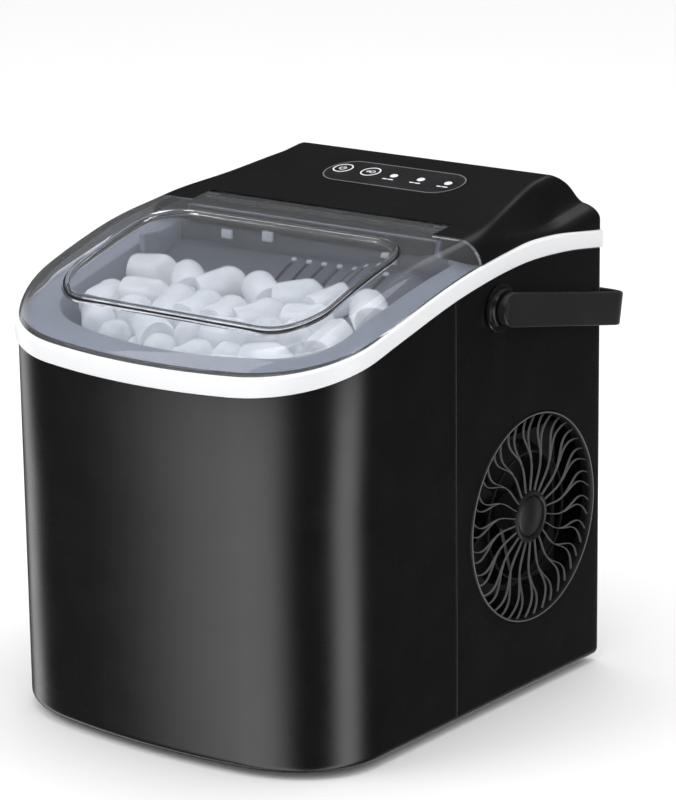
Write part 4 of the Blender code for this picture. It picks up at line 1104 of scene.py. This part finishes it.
def settle_ice():
    """Drop the bullets into the basket and push them apart until they lie in a heap."""
    rng = np.random.default_rng(ICE_SEED)
    rank = np.arange(ICE_COUNT) / ICE_COUNT
    back = np.where(rank < 0.66, -0.054, ICE_BACK)
    middle = np.column_stack((rng.uniform(-0.075, 0.075, ICE_COUNT), rng.uniform(-0.090, back),
                              0.112 + ICE_SPREAD * rank))
    axis = rng.normal(size=(ICE_COUNT, 3)) * (1.0, 1.0, 0.6)
    axis /= np.linalg.norm(axis, axis=1)[:, None]
    reach = ICE_LENGTH / 2 - ICE_R
    points = np.stack((middle - axis * reach, middle + axis * reach), axis=1).reshape(-1, 3)
    owner = np.repeat(np.arange(ICE_COUNT), 2)
    other = owner[:, None] != owner[None, :]
    for step in range(ICE_STEPS):
        points[:, 2] -= ICE_FALL * (1 - step / ICE_STEPS)
        for _ in range(8):
            points = points + push_apart(points, other)
            pairs = points.reshape(-1, 2, 3)
            middle = pairs.mean(axis=1)
            half = pairs[:, 1] - middle + 1e-5 * axis
            half *= reach / np.linalg.norm(half, axis=1)[:, None]
            points = np.stack((middle - half, middle + half), axis=1).reshape(-1, 3)
            keep_in_basket(points)
    return points.reshape(-1, 2, 3)


def bullet():
    """One hollow bullet of ice, its flat mouth at local z = 0 and its dome along +Z."""
    r, length, bore = ICE_R * 1.02, ICE_LENGTH, 0.0032
    dome = arc((0, length - r), r, 0, 84, 7)
    mouth = [(bore, 0.0006), (bore + 0.0007, 0), (r - 0.0016, 0), (r - 0.0004, 0.0006), (r, 0.002)]
    hole = [(0, 0.015), (bore * 0.55, 0.0140), (bore * 0.85, 0.011)]
    return turned(hole + mouth + [(r, 0.009)] + dome + [(0, length)], ICE_SIDES)


def make_ice():
    """The heap of bullets, one piece on the basket; those close under the lid lie mouth down."""
    parts = []
    rng = np.random.default_rng(ICE_SEED + 1)
    noise.seed_set(ICE_SEED)
    for ends in settle_ice():
        first, second = Vector(ends[0]), Vector(ends[1])
        along = (second - first).normalized() * (1 if rng.random() < 0.5 else -1)
        crowded = (ends[:, 2] > ice_ceiling(ends[:, 0], ends[:, 1]) - ICE_CROWDED).any()
        if crowded and along.z < 0:
            along = -along
        middle = (first + second) / 2
        bm = bullet()
        for v in bm.verts:
            v.co += noise.noise_vector(v.co * 130 + middle * 900) * 0.0005
        bm.transform(move(*middle) @ aimed(Vector((0, 0, 1)), along) @ move(0, 0, -ICE_LENGTH / 2))
        parts.append(bm)
    finish(shape("bullet_ice_heap", merged(parts)), ICE, "basket", angle=36)


# ---------------------------------------------------------------- side grille

RIB_SECTION = [(-0.5, -RIB_DEPTH), (0.5, -RIB_DEPTH), (0.42, -0.0004), (0.2, 0), (-0.2, 0), (-0.42, -0.0004)]


def rib(points, face_x):
    """A wavy bar along (y, z) points, narrower at its outer face."""
    bm = bmesh.new()
    sections = []
    for i, point in enumerate(points):
        ahead = points[min(i + 1, len(points) - 1)]
        behind = points[max(i - 1, 0)]
        along = Vector((0, ahead[0] - behind[0], ahead[1] - behind[1])).normalized()
        across = Vector((0, -along.z, along.y))
        centre = Vector((face_x, point[0], point[1]))
        sections.append([bm.verts.new(centre + across * (u * RIB_WIDTH) + Vector((d, 0, 0)))
                         for u, d in RIB_SECTION])
    for a, b in zip(sections, sections[1:]):
        for k in range(len(a)):
            j = (k + 1) % len(a)
            face(bm, a[k], a[j], b[j], b[k])
    face(bm, *sections[0])
    face(bm, *sections[-1])
    return bm


def grille_path(angle, radius_from, radius_to, turn=0.0):
    """Points of a wavy rib outward from the hub, ending turned aside by an angle."""
    y, z = FAN_AXIS
    points = []
    for i in range(RIB_STEPS + 1):
        share = i / RIB_STEPS
        radius = radius_from + (radius_to - radius_from) * share
        whole = (radius - HUB_R) / (GRILLE_R - HUB_R)
        wave = 0.105 * math.sin(2 * math.pi * whole * 1.05) * (0.35 + 0.65 * whole)
        at = angle + wave + turn * smooth_step(0, 1, share)
        points.append((y + radius * math.sin(at), z + radius * math.cos(at)))
    return points


def make_grille():
    face_x = HALF_W - 0.0016
    side = side_matrix(*FAN_AXIS)
    rim_in = GRILLE_R - 0.0016
    rim = [(rim_in, HALF_W - 0.0060), (GRILLE_R, HALF_W - 0.0060), (GRILLE_R, HALF_W),
           (GRILLE_R - 0.0003, HALF_W + 0.0005), (GRILLE_R - 0.0008, HALF_W + 0.0007),
           (GRILLE_R - 0.0013, HALF_W + 0.0005), (rim_in, HALF_W - 0.0001)]
    parts = [turned(rim, 128, side, looped=True)]
    hub = [(0, face_x - 0.0040), (HUB_R, face_x - 0.0040), (HUB_R, face_x)]
    hub += [(HUB_R - inset, face_x + lift) for inset, lift in
            ((0.0006, 0.0009), (0.0014, 0.0010), (0.0022, 0.0004), (0.0028, -0.0008))]
    parts.append(turned(hub + [(0, face_x - 0.0012)], 64, side))
    parts.append(turned(rectangle(0.0337, 0.0347, face_x - 0.0042, face_x - 0.0030), 96, side, looped=True))
    finish(shape("side_grille_fine", merged(parts)), SATIN,
           replaces=["side_grille"], angle=50)
    # A thin ring of the lighter rib grey just inside the rim: a painted highlight line along the rim.
    ribs = [turned(arc((GRILLE_R - 0.0008, HALF_W + 0.0006), 0.0003, 0, 330, 11), 128, side, looped=True)]
    for i in range(RIB_STEMS):
        angle = 2 * math.pi * i / RIB_STEMS
        ribs.append(rib(grille_path(angle, HUB_R - 0.001, RIB_SPLIT), face_x))
        for side_way in (-1, 1):
            branch = side_way * math.pi / (2 * RIB_STEMS)
            path = grille_path(angle, RIB_SPLIT - 0.0008, rim_in + 0.0010, branch)
            ribs.append(rib(path, face_x))
    finish(shape("side_grille_ribs_and_rim_highlight", merged(ribs)), RIBS_PAINTED_SHEEN, angle=50)
    cap = [(0, face_x - 0.0011), (HUB_R - 0.0034, face_x - 0.0011), (HUB_R - 0.0034, face_x - 0.0002),
           (HUB_R - 0.0044, face_x + 0.0004), (0, face_x + 0.0007)]
    finish(shape("grille_hub_cap_fine", turned(cap, 64, side)), SATIN,
           replaces=["grille_hub_cap"])


# ---------------------------------------------------------------- control panel

PANEL_SLOPE = math.atan2(top_z(PANEL_AT[1] + 0.01) - top_z(PANEL_AT[1] - 0.01), 0.02)
PANEL_MATRIX = (move(PANEL_AT[0], PANEL_AT[1], top_z(PANEL_AT[1]))
                @ Matrix.Rotation(PANEL_SLOPE, 4, "X"))


def in_key_row(x):
    """The place of a button or lamp on the panel."""
    return move(x, KEY_ROW_Y, 0)


def panel_half(grow=0.0):
    half_x, half_y = PANEL_SIZE[0] / 2 + grow, PANEL_SIZE[1] / 2 + grow
    return rounded_half(half_x, -half_y, half_y, half_y - 0.0002, 16)


def panel_outline(grow=0.0):
    return closed(panel_half(grow))


def panel_rings(profile, looped=False):
    return ring_solid([(panel_half(grow), level(z)) for grow, z in profile], looped)


def printed(parts, name, mat, body="casing"):
    """A thin printed mark on the panel or a button."""
    bm = merged(parts)
    bm.transform(PANEL_MATRIX)
    finish(shape(name, bm), mat, body)


def stroke(x0, y0, x1, y1, width, heights):
    """A straight printed bar between two points."""
    along = Vector((x1 - x0, y1 - y0, 0))
    at = move((x0 + x1) / 2, (y0 + y1) / 2, 0) @ aimed(Vector((0, 1, 0)), along)
    return prism(slot_outline(along.length + width, width, 4), *heights, at)


def hoop(x, y, radius, width, start=0, end=360):
    """A ring printed on a button, or part of one."""
    steps = max(int(abs(end - start) / 9), 6)
    outer = arc((x, y), radius + width / 2, start, end, steps)
    inner = arc((x, y), radius - width / 2, end, start, steps)
    if end - start < 360:
        return prism(outer + inner, *BUTTON_PRINT)
    profile = rectangle(radius - width / 2, radius + width / 2, *BUTTON_PRINT)
    return turned(profile, 48, move(x, y, 0), looped=True)


def make_control_panel():
    panel = shape("control_panel_fine", panel_rings([(-0.0010, -0.0013), (0, -0.0013), (0, 0.0001),
                                                     (-0.0003, 0.0004), (-0.0010, 0.0004)]))
    holes = [rod(BUTTON_R + GAP, -0.01, 0.01, in_key_row(x), 40) for x in BUTTON_X]
    holes += [rod(LENS_R + GAP, -0.01, 0.01, in_key_row(x), 24) for x in LENS_X]
    combine(panel, "DIFFERENCE", shape("holes", merged(holes)))
    panel.data.transform(PANEL_MATRIX)
    finish(panel, PANEL, replaces=["control_panel"])
    low, high = PANEL_PRINT
    line = panel_rings([(-0.0003, low), (-0.0003, high), (-0.0010, high), (-0.0010, low)], looped=True)
    printed([line], "panel_outline_print", OUTLINE)


def make_buttons():
    y, r = KEY_ROW_Y, BUTTON_R
    profile = [(0, -0.0048), (r, -0.0048), (r, 0.0003), (r - 0.0002, 0.0006), (r - 0.0007, 0.0008),
               (0, 0.00078)]
    for name, body, x in zip(("power_button", "select_button"), ("power_key", "select_key"), BUTTON_X):
        key = shape(name + "_fine", turned(profile, 48, in_key_row(x)))
        key.data.transform(PANEL_MATRIX)
        finish(key, PANEL, body, [name])
        printed([hoop(x, y, r - 0.00075, 0.0008)], name + "_ring_print", ICON, body)
    x = BUTTON_X[0]
    power = [hoop(x, y - 0.0002, 0.0019, 0.0006, 125, 415),
             stroke(x, y + 0.0006, x, y + 0.0022, 0.0006, BUTTON_PRINT)]
    printed(power, "power_icon_print", ICON, "power_key")
    x = BUTTON_X[1]
    sizes = [hoop(x - 0.0016, y, 0.0009, 0.0005), hoop(x + 0.0013, y, 0.0015, 0.0005)]
    printed(sizes, "select_icon_print", ICON, "select_key")


def make_lenses():
    r = LENS_R
    profile = [(0, -0.0013), (r, -0.0013), (r, 0.0003), (r - 0.0003, 0.0006), (r - 0.0009, 0.0007),
               (0, 0.0007)]
    for name, x in zip(("water_lens", "ice_full_lens", "size_lens"), LENS_X):
        lens = shape(name + "_fine", turned(profile, 32, in_key_row(x)))
        lens.data.transform(PANEL_MATRIX)
        finish(lens, LENS, replaces=[name])
    marks = [stroke(x + start, MARK_Y, x + end, MARK_Y, 0.0011, PANEL_PRINT)
             for x in LENS_X for start, end in ((-0.0032, -0.0012), (0.0002, 0.0030))]
    printed(marks, "lens_marks_print", ICON)


# ---------------------------------------------------------------- handle and small parts

def handle_half(offset):
    """Right half of the handle's line in its own frame, offset outward from its middle."""
    half = HANDLE_WIDTH / 2
    x = HANDLE_OUT - HANDLE_THICK / 2 + offset
    end = HANDLE_REACH + HANDLE_THICK / 2 + offset
    corner = HANDLE_CORNER - HANDLE_THICK / 2 + offset
    tip = [-half * math.cos(math.radians(a)) for a in (4, 10, 18, 28, 40, 55, 72)]
    side = tip + steps_between(0, end - corner, 0.006)
    back = steps_between(x - corner, 0, 0.008)
    bend = arc((x - corner, end - corner), corner, 0, 90, 12)
    return [(x, y) for y in side] + bend[1:] + [(bx, end) for bx in back[1:]]


def handle_section():
    """(offset, height share) pairs round the bar's rounded section."""
    half_t, half_h = HANDLE_THICK / 2, HANDLE_WIDTH / 2
    points = []
    for sx, sz, start in ((1, 1, 0), (-1, 1, 90), (-1, -1, 180), (1, -1, 270)):
        centre = (sx * (half_t - HANDLE_EDGE), sz * (half_h - HANDLE_EDGE))
        points += arc(centre, HANDLE_EDGE, start, start + 90, 3)
    return [(u, v / half_h) for u, v in points]


def make_handle():
    half = HANDLE_WIDTH / 2

    def rule(share):
        return lambda x, y: share * (half if y >= 0 else math.sqrt(max(half**2 - y**2, 1e-8)))

    rings = [(handle_half(offset), rule(share)) for offset, share in handle_section()]
    handle = shape("carry_handle_fine", ring_solid(rings, looped=True))
    for sign in (-1, 1):
        low, high = sorted((sign * 0.110, sign * (HANDLE_OUT - 0.0012)))
        combine(handle, "DIFFERENCE", shape("bore", rod(0.0043, low, high, side_matrix(0, 0), 32)))
    handle.data.transform(move(0, *HANDLE_AXIS) @ Matrix.Rotation(HANDLE_TILT, 4, "X"))
    finish(handle, HANDLE, "handle", ["carry_handle"])


def make_handle_bosses():
    """Turned bosses with stepped rings between the casing and the handle's arms."""
    face_x = HALF_W + GAP
    profile = [(0, 0.1035), (0.0063, 0.1035), (0.0063, face_x), (0.0122, face_x), (0.0125, face_x + 0.0003),
               (0.0125, 0.1124), (0.0120, 0.1130), (0.0107, 0.1132), (0.0105, 0.1138), (0.0105, 0.1148),
               (0.0100, 0.1156), (0.0060, 0.1160), (0.0040, 0.1161), (0.0040, 0.1195), (0, 0.1195)]
    for label, facing in (("left", rotate(180, "Z")), ("right", Matrix.Identity(4))):
        at = move(0, *HANDLE_AXIS) @ facing @ side_matrix(0, 0)
        finish(shape(f"handle_boss_{label}_fine", turned(profile, 56, at)), CASING,
               replaces=[f"handle_boss_{label}"])


def make_drain_plug():
    cap = [(0, -0.0165), (0.0050, -0.0165), (0.0052, -0.0160), (0.0052, -0.0003), (0.0078, -0.0003),
           (0.0085, 0.0002), (0.0085, 0.0034), (0.0078, 0.0042), (0.0066, 0.0042), (0.0062, 0.0036),
           (0.0020, 0.0034), (0, 0.0034)]
    at = move(-HALF_W - GAP, *DRAIN_AT) @ rotate(-90, "Y")
    grip = block((-0.0058, -0.0008, 0.0030), (0.0058, 0.0008, 0.0041), at, 0.0003)
    plug = shape("drain_plug_fine", merged([turned(cap, 40, at), grip]))
    finish(plug, RUBBER, "plug", ["drain_plug"])


# ---------------------------------------------------------------- floor, light and camera

def make_floor():
    bm = bmesh.new()
    bmesh.ops.create_grid(bm, x_segments=1, y_segments=1, size=12)
    mesh = bpy.data.meshes.new("studio_floor")
    bm.to_mesh(mesh)
    bm.free()
    floor = in_scene("studio_floor", mesh)
    mat = principled("pale_floor", (0.93, 0.93, 0.93), 0.9)
    uneven_gloss(mat, 3, 0.85, 0.95)
    mesh.materials.append(mat)
    floor.visible_glossy = False
    floor.visible_transmission = False


class Field:
    """A value in a node tree, with arithmetic."""

    def __init__(self, tree, socket):
        self.tree, self.socket = tree, socket

    def math(self, operation, *others):
        made = self.tree.nodes.new("ShaderNodeMath")
        made.operation = operation
        for target, value in zip(made.inputs, (self, *others)):
            if isinstance(value, Field):
                self.tree.links.new(value.socket, target)
            else:
                target.default_value = value
        return Field(self.tree, made.outputs["Value"])

    def __add__(self, other):
        return self.math("ADD", other)

    def __mul__(self, other):
        return self.math("MULTIPLY", other)

    def complement(self):
        """One minus the value."""
        return self * -1 + 1

    def step(self, low, high):
        """Smooth rise from 0 at low to 1 at high."""
        ramp = self.tree.nodes.new("ShaderNodeMapRange")
        ramp.interpolation_type = "SMOOTHSTEP"
        ramp.inputs["From Min"].default_value = low
        ramp.inputs["From Max"].default_value = high
        self.tree.links.new(self.socket, ramp.inputs["Value"])
        return Field(self.tree, ramp.outputs["Result"])

    def window(self, start, full, fade, end):
        """1 between full and fade, falling smoothly to 0 at start and end."""
        return self.step(start, full) + self.step(fade, end) * -1


# Soft boxes that the gloss mirrors: azimuth in degrees (0 in front, 90 at the right), where each
# starts, is full, stops being full and ends, and its brightness. The rises are in degrees too.
SOFT_BOXES = [(-47, -21, 4, 33, 2.45), (64, 86, 92, 117, 3.1), (-114, -103, -92, -80, 1.6),
              (-178, -168, -160, -150, 0.9), (156, 164, 170, 177, 0.5)]
SOFT_BOX_TOP = (2, 22)
OVERHEAD = 0.2
OVERHEAD_RISE = (38, 62)
HIGH_STRIP = 3.0
HIGH_AZIMUTH = (-110, -80, 40, 70)
HIGH_RISE = (57, 61, 65, 69)
RIM_LIGHT = 0.8
RIM_AZIMUTH = (-178, -166, -148, -134)
RIM_RISE = (34, 41, 48, 55)
BASE_GLOSS = 0.038
SEEN_THROUGH = 0.07


def make_world():
    world = bpy.data.worlds.new("studio")
    bpy.context.scene.world = world
    world.use_nodes = True
    tree = world.node_tree
    background = tree.nodes["Background"]
    coords = tree.nodes.new("ShaderNodeTexCoord")
    split = tree.nodes.new("ShaderNodeSeparateXYZ")
    tree.links.new(coords.outputs["Generated"], split.inputs["Vector"])
    x, y, z = (Field(tree, socket) for socket in split.outputs)
    azimuth = x.math("ARCTAN2", y * -1) * math.degrees(1)
    rise = z.math("ARCSINE") * math.degrees(1)
    total = rise.step(*OVERHEAD_RISE) * OVERHEAD + BASE_GLOSS
    low_only = rise.step(*SOFT_BOX_TOP).complement()
    for start, full, fade, end, power in SOFT_BOXES:
        total += azimuth.window(start, full, fade, end) * low_only * power
    total += azimuth.window(*RIM_AZIMUTH) * rise.window(*RIM_RISE) * RIM_LIGHT
    total += azimuth.window(*HIGH_AZIMUTH) * rise.window(*HIGH_RISE) * HIGH_STRIP
    path = tree.nodes.new("ShaderNodeLightPath")
    through, glossy, depth = (Field(tree, path.outputs[name]) for name in
                              ("Is Transmission Ray", "Is Glossy Ray", "Diffuse Depth"))
    direct = depth.math("MINIMUM", 1).complement()
    seen_through = (through * direct * (1 - SEEN_THROUGH)).complement()
    mirrored_ray = glossy * through.complement()
    mix = tree.nodes.new("ShaderNodeMix")
    mix.data_type = "RGBA"
    for name, field in (("Factor", mirrored_ray), ("A", seen_through), ("B", total)):
        tree.links.new(field.socket, mix.inputs[name])
    tree.links.new(mix.outputs["Result"], background.inputs["Color"])
    background.inputs["Strength"].default_value = 1.0


def add_softbox(name, location, target, size, power):
    light = bpy.data.lights.new(name, "AREA")
    light.shape = "RECTANGLE"
    light.size, light.size_y = size
    light.energy = power
    obj = in_scene(name, light)
    obj.location = location
    obj.rotation_euler = (Vector(location) - Vector(target)).to_track_quat("Z", "Y").to_euler()
    obj.visible_glossy = False


def make_lights():
    centre = (CAD_BOX[0] + CAD_BOX[1]) / 2
    add_softbox("key_softbox", (-1.1, -1.5, 1.9), centre, (1.2, 1.2), 14)
    add_softbox("top_softbox", (0.2, 0.1, 1.9), centre, (1.4, 1.0), 10)


CAMERA_AZIMUTH = math.radians(38.03)
CAMERA_ELEVATION = math.radians(15.17)
CAMERA_ROLL = math.radians(-0.78)
CAMERA_DISTANCE = 1.7729
CAMERA_AIM = Vector((0.01518, 0.01997, 0.15351))
CAMERA_LENS = 150.63


def make_camera():
    data = bpy.data.cameras.new("camera")
    data.sensor_width = 36
    data.lens = CAMERA_LENS
    camera = in_scene("camera", data)
    across = math.cos(CAMERA_ELEVATION)
    back = Vector((math.sin(CAMERA_AZIMUTH) * across, -math.cos(CAMERA_AZIMUTH) * across,
                   math.sin(CAMERA_ELEVATION)))
    camera.location = ORIGIN + CAMERA_AIM + back * CAMERA_DISTANCE
    upright = back.to_track_quat("Z", "Y").to_matrix()
    camera.rotation_euler = (upright @ Matrix.Rotation(CAMERA_ROLL, 3, "Z")).to_euler()
    bpy.context.scene.camera = camera


# ---------------------------------------------------------------- build

bpy.context.scene.view_settings.view_transform = "Standard"
make_camera()
make_world()
make_lights()
make_floor()
dress_cad_nodes()
for make in (make_front_shell, make_rear_shell, make_vent_shade_screens, make_trim_band, make_top_cover,
             make_lid, make_lid_window, make_window_seal, make_tub, make_tub_fittings, make_rear_deck,
             make_hood, make_basket, make_shovel, make_ice, make_grille, make_control_panel,
             make_buttons, make_lenses, make_handle, make_handle_bosses, make_drain_plug):
    make()
